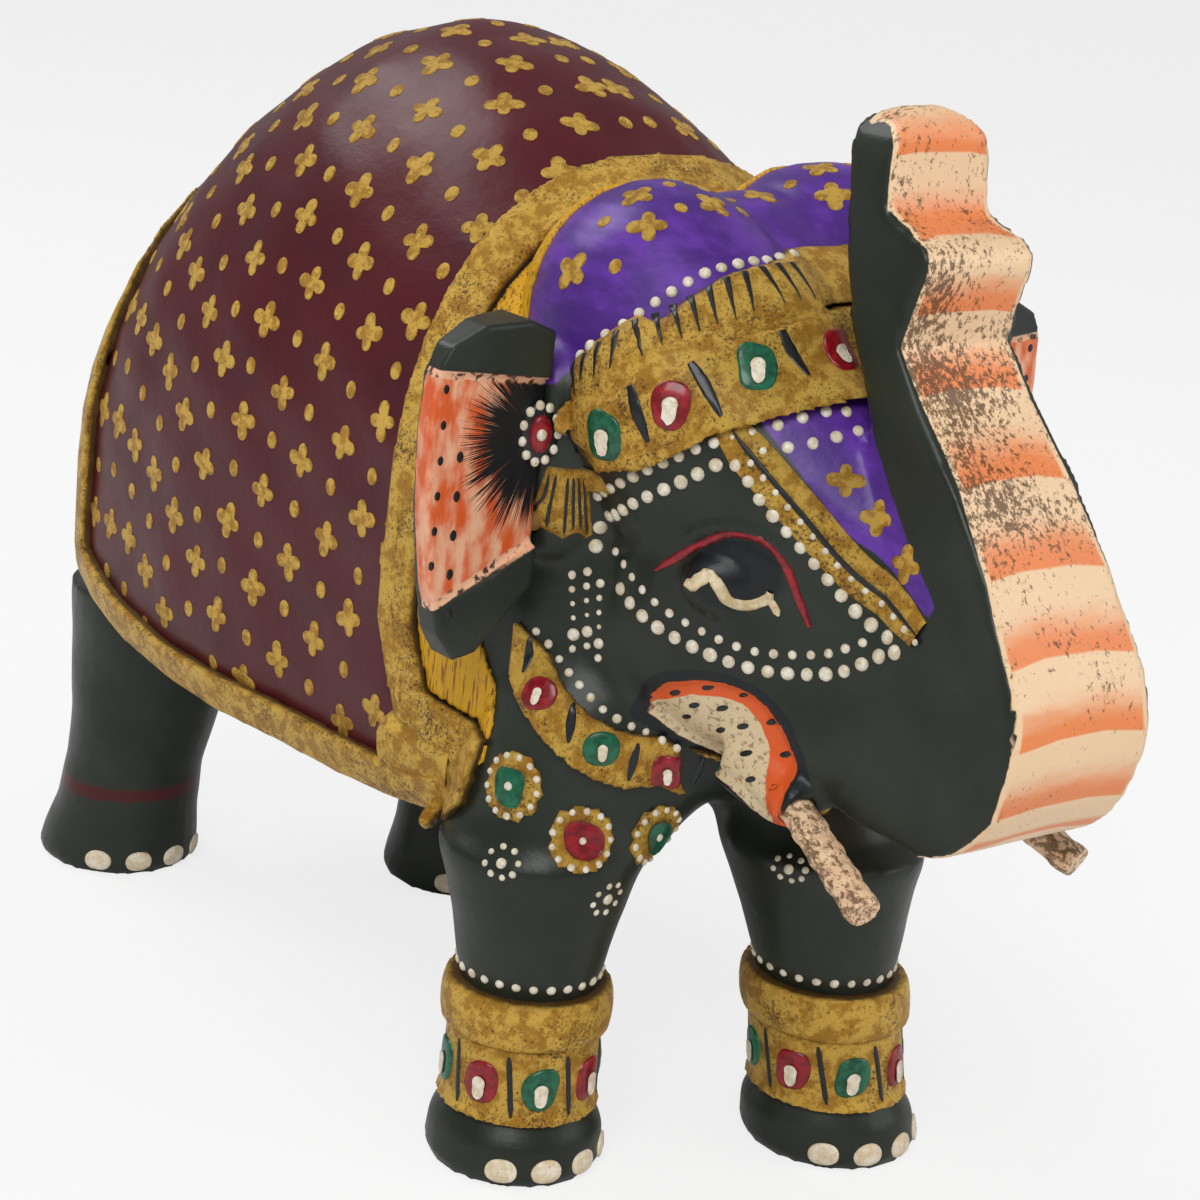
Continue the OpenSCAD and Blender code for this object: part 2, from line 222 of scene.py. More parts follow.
class Paint:
    """short calls for building one node material in drawing millimetres"""

    def __init__(self, name, rough=0.4, coat=0.12, coat_rough=0.25, specular=0.35):
        self.mat = bpy.data.materials.new(name)
        self.mat.use_nodes = True
        self.tree = self.mat.node_tree
        self.tree.nodes.clear()
        self.out = self.tree.nodes.new("ShaderNodeOutputMaterial")
        self.skin = self.tree.nodes.new("ShaderNodeBsdfPrincipled")
        self.tree.links.new(self.skin.outputs[0], self.out.inputs[0])
        self.skin.inputs["Roughness"].default_value = rough
        self.skin.inputs["Coat Weight"].default_value = coat
        self.skin.inputs["Coat Roughness"].default_value = coat_rough
        self.skin.inputs["Specular IOR Level"].default_value = specular
        place = self.tree.nodes.new("ShaderNodeTexCoord")
        scale = self.tree.nodes.new("ShaderNodeVectorMath")
        scale.operation = "SCALE"
        scale.inputs["Scale"].default_value = 1 / MM
        self.tree.links.new(place.outputs["Object"], scale.inputs[0])
        self.here = scale.outputs[0]

    def put(self, socket, value):
        if isinstance(value, bpy.types.NodeSocket):
            self.tree.links.new(value, socket)
        else:
            socket.default_value = value

    def math(self, op, a, b=0.0, clamp=False):
        node = self.tree.nodes.new("ShaderNodeMath")
        node.operation = op
        node.use_clamp = clamp
        self.put(node.inputs[0], a)
        self.put(node.inputs[1], b)
        return node.outputs[0]

    def attr(self, name):
        node = self.tree.nodes.new("ShaderNodeAttribute")
        node.attribute_name = name
        return node.outputs["Fac"]

    def stretched(self, x, y, z):
        node = self.tree.nodes.new("ShaderNodeVectorMath")
        node.operation = "MULTIPLY"
        self.put(node.inputs[0], self.here)
        node.inputs[1].default_value = (x, y, z)
        return node.outputs[0]

    def vector(self, x, y, z=0.0):
        node = self.tree.nodes.new("ShaderNodeCombineXYZ")
        for k, value in enumerate((x, y, z)):
            self.put(node.inputs[k], value)
        return node.outputs[0]

    def noise(self, scale, detail=3.0, rough=0.55, where=None):
        node = self.tree.nodes.new("ShaderNodeTexNoise")
        self.put(node.inputs["Vector"], where if where is not None else self.here)
        node.inputs["Scale"].default_value = scale
        node.inputs["Detail"].default_value = detail
        node.inputs["Roughness"].default_value = rough
        return node.outputs["Fac"]

    def step(self, value, low, high):
        """0 below low and 1 above high, smooth between"""
        node = self.tree.nodes.new("ShaderNodeMapRange")
        node.interpolation_type = "SMOOTHSTEP"
        self.put(node.inputs["Value"], value)
        node.inputs["From Min"].default_value = low
        node.inputs["From Max"].default_value = high
        return node.outputs["Result"]

    def mix(self, fac, a, b):
        node = self.tree.nodes.new("ShaderNodeMix")
        node.data_type = "RGBA"
        self.put(node.inputs[0], fac)
        self.put(node.inputs[6], a)
        self.put(node.inputs[7], b)
        return node.outputs[2]

    def inside(self, name, edge=0.12, wobble=0.35, scale=0.8):
        """a hand-painted region from its signed distance, its edge a little uneven"""
        shaky = self.math("ADD", self.attr(name), self.math(
            "MULTIPLY", self.math("SUBTRACT", self.noise(scale, 2.0), 0.5), wobble * 2))
        return self.step(shaky, -edge, edge)

    def bump(self, height, strength, distance=0.2):
        node = self.tree.nodes.new("ShaderNodeBump")
        node.inputs["Strength"].default_value = strength
        node.inputs["Distance"].default_value = distance * MM
        self.put(node.inputs["Height"], height)
        self.put(self.skin.inputs["Normal"], node.outputs[0])

    def finish(self, colour, rough=None, metal=None):
        self.put(self.skin.inputs["Base Color"], colour)
        if rough is not None:
            self.put(self.skin.inputs["Roughness"], rough)
        if metal is not None:
            self.put(self.skin.inputs["Metallic"], metal)
        return self.mat

    def range(self, value, low, high):
        """0..1 stretched to low..high"""
        return self.math("ADD", self.math("MULTIPLY", value, high - low), low)


def trunk_paint(p):
    """cream with orange bands that are sharp below and fade above, rubbed with umber"""
    bands = p.math("SUBTRACT", 1.0, p.math("FRACT", p.attr("trunk_band")))
    hazy = p.noise(0.5, 3.0, where=p.stretched(0.35, 1, 1.6))
    orange = p.math("MULTIPLY", p.step(p.math("ADD", bands, p.math(
        "MULTIPLY", hazy, 0.32)), 0.48, 1.02), p.step(bands, 1.0, 0.965))
    orange = p.math("MULTIPLY", orange, p.step(p.attr("trunk_front"), 0.5, 1.0))
    colour = p.mix(orange, CREAM, TRUNK_ORANGE)
    grit = p.noise(1.0, 8.0, 0.78, where=p.stretched(1.4, 1.4, 0.9))
    patches = p.noise(0.09, 2.0)
    high = p.range(p.attr("trunk_high"), -0.06, 0.06)
    worn = p.step(p.math("ADD", grit, p.math("ADD", p.math("MULTIPLY", patches, 0.3), high)),
                  0.715, 0.75)
    return p.mix(p.math("MULTIPLY", worn, 0.88), colour, UMBER), worn


def body_material():
    p = Paint("carved_paint", rough=0.42, coat=0.1, coat_rough=0.2, specular=0.28)
    cloudy = p.noise(0.06, 4.0)
    colour = p.mix(p.step(cloudy, 0.35, 0.7), GREEN, GREEN_PALE)
    sheen = p.noise(0.11, 5.0, where=p.stretched(1, 0.6, 1))
    cloth = p.mix(p.math("MULTIPLY", p.step(sheen, 0.4, 0.75), 0.55), MAROON, MAROON_DARK)
    colour = p.mix(p.inside("blanket"), colour, cloth)
    brushed = p.noise(0.22, 4.0, where=p.stretched(1, 0.45, 1.3))
    violet = p.mix(p.step(brushed, 0.42, 0.66), PURPLE, PURPLE_PALE)
    colour = p.mix(p.inside("cap", wobble=0.25), colour, violet)
    colour = p.mix(p.inside("panel", wobble=0.25), colour, violet)
    colour = p.mix(p.inside("eye_shadow", edge=0.5), colour, BLACK)
    colour = p.mix(p.inside("leg_band", edge=0.3, wobble=0.5), colour, srgb("4A1216"))
    cream, worn = trunk_paint(p)
    front = p.inside("trunk_front", edge=0.1, wobble=0.12)
    colour = p.mix(front, colour, cream)
    colour = p.mix(p.inside("mouth_rim", edge=0.1, wobble=0.2), colour, BLACK)
    colour = p.mix(p.inside("mouth", edge=0.08, wobble=0.15), colour, ORANGE)
    lip = p.noise(1.3, 6.0, 0.7)
    ivory = p.mix(p.math("MULTIPLY", p.step(lip, 0.53, 0.6), 0.6), srgb("D9C39C"), UMBER)
    colour = p.mix(p.inside("mouth_floor", edge=0.08, wobble=0.2), colour, ivory)
    dirt = p.noise(0.45, 6.0, 0.7)
    colour = p.mix(p.math("MULTIPLY", p.step(dirt, 0.62, 0.8), 0.25), colour, BLACK)
    grain = p.noise(1.2, 6.0, 0.62, where=p.stretched(1, 0.5, 1))
    p.bump(p.math("ADD", grain, p.math("MULTIPLY", p.noise(0.35, 3.0), 1.5)), 0.22, 0.25)
    gloss = p.range(p.noise(0.2, 4.0), 0.26, 0.5)
    return p.finish(colour, gloss)


def gold_material(name, low="lift", dark=0.5, pale=GOLD_PALE, base=GOLD, scale=1.0):
    """gilt paste rubbed with dark wax: umber in the hollows, worn bright on the high places"""
    p = Paint(name, rough=0.38, coat=0.1)
    mottled = p.noise(0.4 * scale, 6.0, 0.7)
    colour = p.mix(p.step(mottled, 0.42, 0.56), base, pale)
    grit = p.noise(2.3 * scale, 8.0, 0.8)
    broad = p.noise(0.16 * scale, 3.0)
    rub = p.math("ADD", grit, p.math("MULTIPLY", broad, 0.3))
    waxed = p.step(rub, 0.77 - 0.14 * dark, 0.81 - 0.14 * dark)
    if low:
        hollow = p.math("ADD", p.attr(low), p.math("MULTIPLY", p.noise(0.9, 5.0), 0.6))
        waxed = p.math("MAXIMUM", waxed, p.step(hollow, 1.1, 0.7))
    colour = p.mix(p.math("MULTIPLY", waxed, 0.9), colour, PATINA)
    p.bump(p.math("ADD", grit, p.noise(0.8, 5.0)), 0.85, 0.35)
    metal = p.range(p.math("SUBTRACT", 1.0, waxed), 0.1, 0.8)
    return p.finish(colour, p.range(grit, 0.2, 0.58), metal)


def fringe_material(name, ground, mark):
    """brushed strokes that run down the fringe"""
    p = Paint(name, rough=0.5, coat=0.12)
    strokes = p.noise(1.0, 5.0, 0.6, where=p.stretched(2.6, 2.6, 0.22))
    colour = p.mix(p.step(strokes, 0.53, 0.61), ground, mark)
    colour = p.mix(p.math("MULTIPLY", p.step(p.noise(0.5, 4.0), 0.5, 0.7), 0.4), colour, GOLD)
    p.bump(strokes, 0.6, 0.3)
    return p.finish(colour, p.range(strokes, 0.35, 0.6))


def enamel_material(name, colour, deep, rough=0.22, speck=None):
    """thick glossy paint, a little streaky and uneven"""
    p = Paint(name, rough=rough, coat=0.3, coat_rough=0.1)
    streaks = p.noise(0.9, 5.0, 0.6)
    shade = p.mix(p.step(streaks, 0.35, 0.65), deep, colour)
    if speck:
        grit = p.noise(2.6, 6.0, 0.75)
        shade = p.mix(p.math("MULTIPLY", p.step(grit, 0.56, 0.7), 0.75), shade, speck)
    p.bump(p.noise(1.4, 4.0), 0.35, 0.2)
    return p.finish(shade, p.range(streaks, rough, rough + 0.2))


def tusk_material():
    p = Paint("tusk_paint", rough=0.4, coat=0.25)
    along = p.noise(1.0, 7.0, 0.75, where=p.stretched(1.6, 0.7, 1.2))
    patches = p.noise(0.25, 3.0)
    worn = p.step(p.math("ADD", along, p.math("MULTIPLY", patches, 0.3)), 0.63, 0.7)
    ground = p.mix(p.math("MULTIPLY", p.step(p.noise(0.3, 3.0), 0.4, 0.65), 0.4), CREAM, PEACH)
    colour = p.mix(p.math("MULTIPLY", worn, 0.82), ground, UMBER)
    p.bump(along, 0.35, 0.25)
    return p.finish(colour, p.range(along, 0.3, 0.55))


def wood_material():
    p = Paint("bare_wood", rough=0.6, coat=0.0)
    rings = p.noise(1.2, 5.0, 0.6, where=p.stretched(0.15, 1.6, 1.6))
    colour = p.mix(rings, srgb("A8804E"), srgb("6F4B28"))
    p.bump(rings, 0.3, 0.2)
    return p.finish(colour, p.range(rings, 0.5, 0.7))


def ear_material():
    """green bevels round a peach and orange field with a black fan of brush strokes"""
    p = Paint("ear_paint", rough=0.42, coat=0.12)
    cloudy = p.noise(0.08, 4.0)
    colour = p.mix(p.step(cloudy, 0.35, 0.7), GREEN, GREEN_PALE)
    hair = p.noise(1.0, 3.0, 0.6, where=p.vector(
        p.math("MULTIPLY", p.attr("fan_angle"), 26.0), p.math("MULTIPLY", p.attr("fan_reach"), 0.07)))
    field = p.mix(p.step(p.noise(0.5, 5.0, where=p.stretched(1, 1, 0.4)), 0.35, 0.68),
                  ORANGE, PEACH)
    near = p.step(p.attr("fan_reach"), 12.5, 8.5)
    brushed = p.math("MULTIPLY", p.step(hair, 0.5, 0.56), near)
    field = p.mix(brushed, field, PEACH)
    fan = p.step(p.math("SUBTRACT", p.math("MULTIPLY", hair, 19.0), p.math(
        "ADD", p.attr("fan_reach"), -0.4)), -0.1, 0.5)
    field = p.mix(fan, field, BLACK)
    # along the rim of the dished field, under the raised green lip: worn peach paint, mixed by noise
    # with dark brown painted shade cast by the lip
    rim_wear_and_shade = p.mix(p.step(p.noise(0.8, 5.0), 0.5, 0.6), PEACH, srgb("4A3020"))
    field = p.mix(p.step(p.math("ADD", p.attr("dish"), p.math(
        "MULTIPLY", p.noise(0.9, 3.0), 0.8)), 1.5, 1.2), field, rim_wear_and_shade)
    colour = p.mix(p.inside("dish", edge=0.08, wobble=0.12), colour, field)
    p.bump(p.noise(1.0, 5.0), 0.25, 0.25)
    return p.finish(colour, p.range(p.noise(0.25, 4.0), 0.3, 0.52))

# ---------------------------------------------------------------- the carved body

# the drawing's main lines, side view (y, z) unless said otherwise
TRUNK_FRONT = [(-50.2, 133.4), (-51.6, 134.7), (-53, 135.1), (-55.4, 134), (-56.9, 131),
               (-57.1, 127), (-57.5, 123.2), (-60, 121.8), (-62.6, 121.7), (-65, 119.8),
               (-64.6, 117.2), (-63.6, 113.6), (-62.6, 109.8), (-67.4, 103.8), (-74.8, 96.4),
               (-81.6, 88), (-87.7, 78.2), (-89.6, 70.5), (-88.2, 62.6), (-82.9, 57),
               (-76, 55.1), (-66, 56.2), (-58, 58.3)]
TRUNK_WIDTH = [(50, 11.3), (70, 11.2), (84, 10.4), (97, 8.9), (112, 8.4), (129, 8), (136, 7.4)]
BLANKET = [(-8, 160), (-8.4, 100), (-8, 66), (-9, 58), (-20, 53), (-20, 47), (0, 46),
           (40, 46), (56, 48.5), (68, 53), (68, 76), (60, 160)]
PANEL = [(-51.6, 100.6), (-54, 105), (-58.6, 104.4), (-60.6, 100.6), (-65.3, 94.6),
         (-70.4, 88.4), (-75, 83.8), (-74.4, 82), (-63, 89), (-57, 95.4)]
MOUTH = [(-41.8, 62), (-43.2, 65), (-45.2, 66.8), (-48.8, 68), (-52, 68.5), (-54.8, 67.9),
         (-57.2, 66.5), (-59.2, 64.6), (-60.8, 61.6), (-62, 57.6), (-62, 52.8), (-58.6, 53.4),
         (-53.9, 56), (-47.4, 57), (-43.6, 59.4)]
MOUTH_FLOOR = [(-40, 63), (-43.8, 64), (-47.5, 65.8), (-51.2, 66.4), (-53.4, 66.2), (-55.4, 64.6),
               (-57.2, 61.4), (-58.8, 57.6), (-59.4, 54), (-58, 50), (-47, 50), (-40, 56)]


def band_height(x, low, drop):
    """height of a brow band's edge, which droops toward the ears"""
    return low - drop * (np.abs(x) / 34) ** 2.5


def body_attributes(co, normal):
    x, y, z = co.T
    side = np.abs(x)
    width = np.interp(z, *zip(*TRUNK_WIDTH))
    front = (width - side) - line_distance(y, z, TRUNK_FRONT)
    front = np.where((side < 16) & (y < -46), front, -5.0)
    front = np.minimum(front, -50.7 - y)
    front = np.where((y > -58) & (z < 110), -5.0, front)
    cap = np.minimum(z - band_height(x, 111.5, 13.5), -19.8 - y)
    cap = np.where(z > 90, np.minimum(cap, y + 50.5), -5.0)
    cap = np.where((z > 118) & (y < -45), -5.0, cap)
    panel = np.where((side > 4) & (z > 76) & (z < 106), inside_poly(y, z, PANEL), -5.0)
    mouth = np.where((side > 8) & (z < 72), inside_poly(y, z, MOUTH), -5.0)
    floor = np.where((side > 8) & (z < 72), inside_poly(y, z, MOUTH_FLOOR), -5.0)
    blanket = inside_poly(y, z, BLANKET) + 2.2
    eye = 4.4 - np.hypot(y + 53.4, (z - 82.6) * 0.95)
    eye = np.where(side > 8, eye, -5.0)
    hind = np.where(y > 30, 1.0 - np.abs(z - 14.2 - 0.05 * x), -5.0)
    return {
        "trunk_front": front,
        "trunk_high": smoothstep(z, 62, 100) * (1 - 0.45 * smoothstep(z, 118, 128)),
        "trunk_band": (z + 2.6) / 8.3 + 0.13 * np.clip(side - 4, 0, 9) / 9 + y / 60.0 * (z < 60),
        "cap": cap,
        "panel": panel,
        "mouth": mouth,
        "mouth_rim": mouth + 1.3,
        "mouth_floor": np.minimum(floor, mouth),
        "blanket": blanket,
        "eye_shadow": eye,
        "leg_band": hind,
    }


def sculpt(co, faces):
    """carved detail that is finer than the block: mouth, eye and a faint ripple over the carving that
    fades out at the feet
    """
    normal = normals(co, faces)
    x, y, z = co.T
    side = np.abs(x)
    mouth = np.where((side > 8) & (z < 72), inside_poly(y, z, MOUTH), -5.0)
    push = -0.9 * smoothstep(mouth, -0.1, 0.7)
    lid = 1 - ((y + 53.2) / 4.6) ** 2 - ((z - 82.6) / 3.6) ** 2
    ball = 0.8 * np.sqrt(np.clip(lid, 0, 1))
    fold = 0.6 * np.exp(-((np.hypot((y + 53) / 1.15, z - 82.4) - 5.2) / 0.6) ** 2)
    fold = fold * smoothstep(z, 83, 86)
    push = push + np.where((side > 9) & (y < -44) & (y > -62), ball + fold, 0)
    ripple = 0.16 * np.sin(x * 0.31 + z * 0.23) * np.sin(y * 0.27 - z * 0.17)
    push = push + ripple * smoothstep(z, 2, 10)
    return co + normal * push[:, None]


def round_tip(co):
    """the trunk's tip is an arch when seen from the front"""
    x, y, z = co.T
    arch = 127.2 + 8.0 * np.sqrt(np.clip(1 - (x / 8.6) ** 2, 0, 1))
    tip = (z > 124) & (y < -46) & (z > arch)
    co[:, 2] = np.where(tip, arch, z)
    return co


def body():
    co, faces, edges = moulded(["carved_block"], 0.75)
    x, y, z = co.T
    crisp = np.where((y < -56) & (np.abs(x) < 15), 0.4, 1.0)
    crisp = np.where((y < -46) & (z > 106), 0.16, crisp)
    crisp = np.where(z < 2, 0.3, crisp)
    co = relax(co, edges, 14, crisp)
    shoulder = smoothstep(z, 33, 39) * (1 - smoothstep(z, 50, 56)) * smoothstep(-y, 12, 18)
    jaw = np.exp(-((np.abs(x) - 24) ** 2 + (y + 38) ** 2 + (z - 66) ** 2) / 60)
    back = smoothstep(y, -4, 6) * smoothstep(z, 50, 62)
    co = relax(co, edges, 45, np.maximum(np.maximum(shoulder, jaw), back), back=0)
    co = round_tip(co)
    co[:, 2] = np.maximum(co[:, 2], 0.0)
    co = sculpt(co, faces)
    co[:, 2] = np.maximum(co[:, 2], 0.0)
    attrs = body_attributes(co, None)
    piece = to_mesh_object("carved_body", co, faces, body_material(), attrs=attrs)
    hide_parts("carved_block")
    tree = BVHTree.FromPolygons([Vector(p) for p in co], faces)
    return piece, tree


# ---------------------------------------------------------------- relief and paint on the body


class Skin:
    """the carved surface that paint and relief are laid on, in drawing mm"""

    def __init__(self, tree):
        self.tree = tree

    def snap(self, point, lift=0.0):
        place, normal, _, _ = self.tree.find_nearest(Vector(point))
        return place + normal * lift, normal

    def cast(self, start, way):
        place, normal, _, _ = self.tree.ray_cast(Vector(start), Vector(way).normalized())
        return (place, normal) if place is not None else (None, None)


class Outside(Skin):
    """the top of whatever relief covers the carving, found by looking down on it"""

    def __init__(self, base, tree):
        super().__init__(tree)
        self.base = base

    def snap(self, point, lift=0.0):
        place, normal = self.base.snap(point)
        spot, _ = self.cast(place + normal * 4.5, -normal)
        if spot is None or (spot - place).length > 4.5:
            spot = place
        return spot + normal * lift, normal


def frame_at(normal, up=(0, 0, 1)):
    n = Vector(normal).normalized()
    side = Vector(up).cross(n)
    if side.length < 1e-4:
        side = Vector((1, 0, 0)).cross(n)
    side.normalize()
    return side, n.cross(side), n


class Heap:
    """verts and faces of many small pieces that share one material"""

    def __init__(self, name, material, slot):
        self.name, self.material, self.slot = name, material, slot
        self.verts, self.faces, self.lift = [], [], []

    def add(self, verts, faces, lift=None):
        base = len(self.verts)
        self.verts += [tuple(v) for v in verts]
        self.faces += [tuple(base + i for i in f) for f in faces]
        self.lift += lift if lift is not None else [1.0] * len(verts)

    def make(self, replaced=()):
        if not self.faces:
            return None
        piece = to_mesh_object(self.name, self.verts, self.faces, self.material,
                               attrs={"lift": self.lift})
        if replaced:
            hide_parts(*replaced)
        return piece


def blob(heap, skin, centre, outline, height, up=(0, 0, 1), sink=0.12, rings=3, base=0.0):
    """a raised patch of paint: outline(angle) gives its radius round a point of the surface"""
    place, normal = skin.snap(centre)
    side, upward, n = frame_at(normal, up)
    steps = 28
    verts, lift = [], []
    profile = [(1.0, -sink), (0.97, height * 0.55), (0.86, height * 0.88), (0.5, height)]
    for share, rise in profile[:rings + 1]:
        for k in range(steps):
            a = 2 * math.pi * k / steps
            r = outline(a) * share
            point = place + side * (r * math.cos(a)) + upward * (r * math.sin(a))
            spot, m = skin.snap(point)
            verts.append(spot + m * (rise + base))
            lift.append(0.3 if rise < 0 else 1.0)
    spot, m = skin.snap(place)
    verts.append(spot + m * (height + base))
    lift.append(1.0)
    faces = []
    for ring in range(rings):
        for k in range(steps):
            a, b = ring * steps + k, ring * steps + (k + 1) % steps
            faces.append((a, b, b + steps, a + steps))
    last = rings * steps
    for k in range(steps):
        faces.append((last + k, last + (k + 1) % steps, len(verts) - 1))
    heap.add(verts, faces, lift)


def bead(heap, skin, centre, radius, tall=0.62, base=0.0, normal=None):
    """a drop of thick paint: a low dome, never quite the same size twice"""
    place, n = skin.snap(centre)
    if normal is not None:
        n = Vector(normal)
    r = radius * rng.uniform(0.9, 1.08)
    side, upward, n = frame_at(n)
    squeeze = rng.uniform(0.9, 1.05)
    verts, faces = [], []
    steps = 12
    for share, rise in ((1.0, -0.25), (1.0, 0.12), (0.86, 0.62), (0.5, 0.93)):
        for k in range(steps):
            a = 2 * math.pi * k / steps
            verts.append(place + side * (r * share * squeeze * math.cos(a))
                         + upward * (r * share * math.sin(a)) + n * (r * tall * rise + base))
    verts.append(place + n * (r * tall + base))
    for ring in range(3):
        for k in range(steps):
            a, b = ring * steps + k, ring * steps + (k + 1) % steps
            faces.append((a, b, b + steps, a + steps))
    for k in range(steps):
        faces.append((3 * steps + k, 3 * steps + (k + 1) % steps, len(verts) - 1))
    heap.add(verts, faces)


def curve_points(knots, spacing):
    """evenly spaced points on a smooth curve through the knots"""
    knots = [Vector(k) for k in knots]
    ends = [2 * knots[0] - knots[1]] + knots + [2 * knots[-1] - knots[-2]]
    fine = []
    for i in range(1, len(ends) - 2):
        a, b, c, d = ends[i - 1:i + 3]
        for k in range(24):
            t = k / 24
            fine.append(0.5 * (2 * b + (c - a) * t + (2 * a - 5 * b + 4 * c - d) * t * t
                               + (3 * b - a - 3 * c + d) * t ** 3))
    fine.append(knots[-1])
    reach = [0.0]
    for a, b in zip(fine[:-1], fine[1:]):
        reach.append(reach[-1] + (b - a).length)
    count = max(1, round(reach[-1] / spacing))
    out, j = [], 0
    for k in range(count + 1):
        want = reach[-1] * k / count
        while j < len(reach) - 2 and reach[j + 1] < want:
            j += 1
        share = (want - reach[j]) / max(reach[j + 1] - reach[j], 1e-9)
        out.append(fine[j].lerp(fine[j + 1], min(max(share, 0), 1)))
    return out


def ribbon(heap, skin, knots, width, height, taper=0.15, base=0.0, shape=None):
    """a brushed line that follows the surface; shape(t) scales its width along the way"""
    spine = curve_points(knots, 0.55)
    across = (-1.0, -0.9, -0.5, 0.0, 0.5, 0.9, 1.0)
    rise = (-0.12, height * 0.6, height, height * 1.05, height, height * 0.6, -0.12)
    verts, faces, lift = [], [], []
    for k, point in enumerate(spine):
        t = k / (len(spine) - 1)
        nearby = spine[min(k + 1, len(spine) - 1)] - spine[max(k - 1, 0)]
        place, n = skin.snap(point)
        side = n.cross(nearby).normalized()
        ends = min(1.0, taper + (1 - taper) * min(t, 1 - t) * 9)
        half = width / 2 * (shape(t) if shape else ends)
        for a, r in zip(across, rise):
            spot, m = skin.snap(place + side * (half * a))
            verts.append(spot + m * (r + (base if r > 0 else 0)))
            lift.append(0.3 if r < 0 else 1.0)
    row = len(across)
    for k in range(len(spine) - 1):
        for j in range(row - 1):
            a = k * row + j
            faces.append((a, a + 1, a + row + 1, a + row))
    heap.add(verts, faces, lift)


def clover(size, lobes=4, turn=0.0):
    """outline of the four-petalled brush mark"""
    wobble = [rng.uniform(0.88, 1.12) for _ in range(lobes)]

    def radius(a):
        k = int(((a + turn) / (2 * math.pi) * lobes + 0.5)) % lobes
        petal = abs(math.cos((a + turn) * lobes / 2)) ** 0.9
        return size * wobble[k] * (0.42 + 0.58 * petal)
    return radius


def oval(rx, ry):
    return lambda a: rx * ry / math.hypot(ry * math.cos(a), rx * math.sin(a))


def uneven(rx, ry):
    """a hand-painted gem: part oval, part square, never quite even"""
    k = [rng.uniform(-0.07, 0.07) for _ in range(4)]
    square = rng.uniform(2.2, 3.6)

    def radius(a):
        c, s = abs(math.cos(a)) / rx, abs(math.sin(a)) / ry
        ripple = k[0] * math.cos(a) + k[1] * math.sin(2 * a) + k[2] * math.cos(3 * a + k[3] * 40)
        return (c ** square + s ** square) ** (-1 / square) * (1 + ripple)
    return radius


def rounded_square(r):
    return lambda a: r * (abs(math.cos(a)) ** 4 + abs(math.sin(a)) ** 4) ** -0.25


def teardrop(r):
    return lambda a: r * (0.5 + 0.8 * max(0.0, -math.sin(a)) ** 5)


def both(point):
    return [Vector(point), Vector((-point[0], point[1], point[2]))]


# ---------------------------------------------------------------- gilded relief from the CAD


def relief(name, nodes, skin, material, thick, voxel=0.4, rounds=5, sink=0.5,
           slide=None, swell=None):
    """CAD relief with its edges rounded as hand-laid paste, bedded into the carved surface"""
    co, faces, edges = moulded(nodes, voxel)
    co = relax(co, edges, rounds)
    low = np.empty(len(co))
    for i, point in enumerate(co):
        place, normal, _, _ = skin.tree.find_nearest(Vector(point))
        low[i] = (Vector(point) - place).dot(normal)
        if swell and low[i] > 0.3:
            co[i] = point + np.array(normal) * swell(point[2])
        if slide:
            place, normal, _, _ = skin.tree.find_nearest(place + Vector((0, 0, slide(*point))))
            co[i] = place + normal * low[i]
        if low[i] < 0.3:
            co[i] = place - normal * sink
    piece = to_mesh_object(name, co, faces, material, attrs={"lift": low / thick})
    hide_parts(*nodes)
    return piece


# ---------------------------------------------------------------- blanket pattern


def jewel_droop(x, y, z):
    """the brow band hangs lower beside the ears"""
    return -2.6 * max(0.0, min(1.0, (abs(x) - 24) / 5))


RING_SPAN = (17.8, 24.4)


def ring_swell(z):
    """the anklet is a fat round ring"""
    middle, half = sum(RING_SPAN) / 2, (RING_SPAN[1] - RING_SPAN[0]) / 2
    return 0.75 * math.sqrt(max(0.0, 1 - ((z - middle) / half) ** 2)) - 0.15


def fringe_rise(x, y, z):
    """the fringe stands taller than its paste bed over the temples"""
    foot = 111.4 - 13.2 * (abs(x) / 34) ** 2.5
    ends = max(0.0, min(1.0, (abs(x) - 17) / 10))
    return (0.5 * max(0.0, z - foot) + 0.4) * (1 - ends) - 3.2 * ends


def section_line(y, side, skin):
    """points and arc lengths down one side of the body at this y, from the crest"""
    points, reach = [], [0.0]
    for k in range(80):
        angle = math.radians(1.9 * k)
        way = Vector((side * math.sin(angle), 0, math.cos(angle)))
        place, _ = skin.cast(Vector((0, y, 78)) + way * 120, -way)
        if place is None:
            break
        if points:
            reach.append(reach[-1] + (place - points[-1]).length)
        points.append(place)
    return points, reach


def down_the_side(line, s):
    points, reach = line
    if s >= reach[-1]:
        return None
    k = max(i for i, r in enumerate(reach) if r <= s)
    share = (s - reach[k]) / max(reach[k + 1] - reach[k], 1e-6)
    return points[k].lerp(points[k + 1], share)


def blanket_motifs(skin, heap):
    """staggered rows of four-petalled marks with dots between them"""
    pitch_y, pitch_s = 6.7, 6.9
    for side in (-1, 1):
        for col in range(-1, 12):
            for row in range(0, 16):
                y = -7.6 + pitch_y * col + 1.1 * row * 0.55
                s = row * pitch_s + (3.4 if side > 0 else 0) + 0.25 * col
                if not -7.0 < y < 67:
                    continue
                line = section_line(y + rng.uniform(-0.4, 0.4), side, skin)
                place = down_the_side(line, s + rng.uniform(-0.4, 0.4))
                if place is None or place.z < 47 or inside_poly(
                        np.array([place.y]), np.array([place.z]), BLANKET)[0] < -0.6:
                    continue
                if (row + col) % 2:
                    blob(heap, skin, place, oval(0.95, 1.15), 0.13)
                else:
                    blob(heap, skin, place, clover(2.5, 4, rng.uniform(-0.25, 0.25)), 0.14)


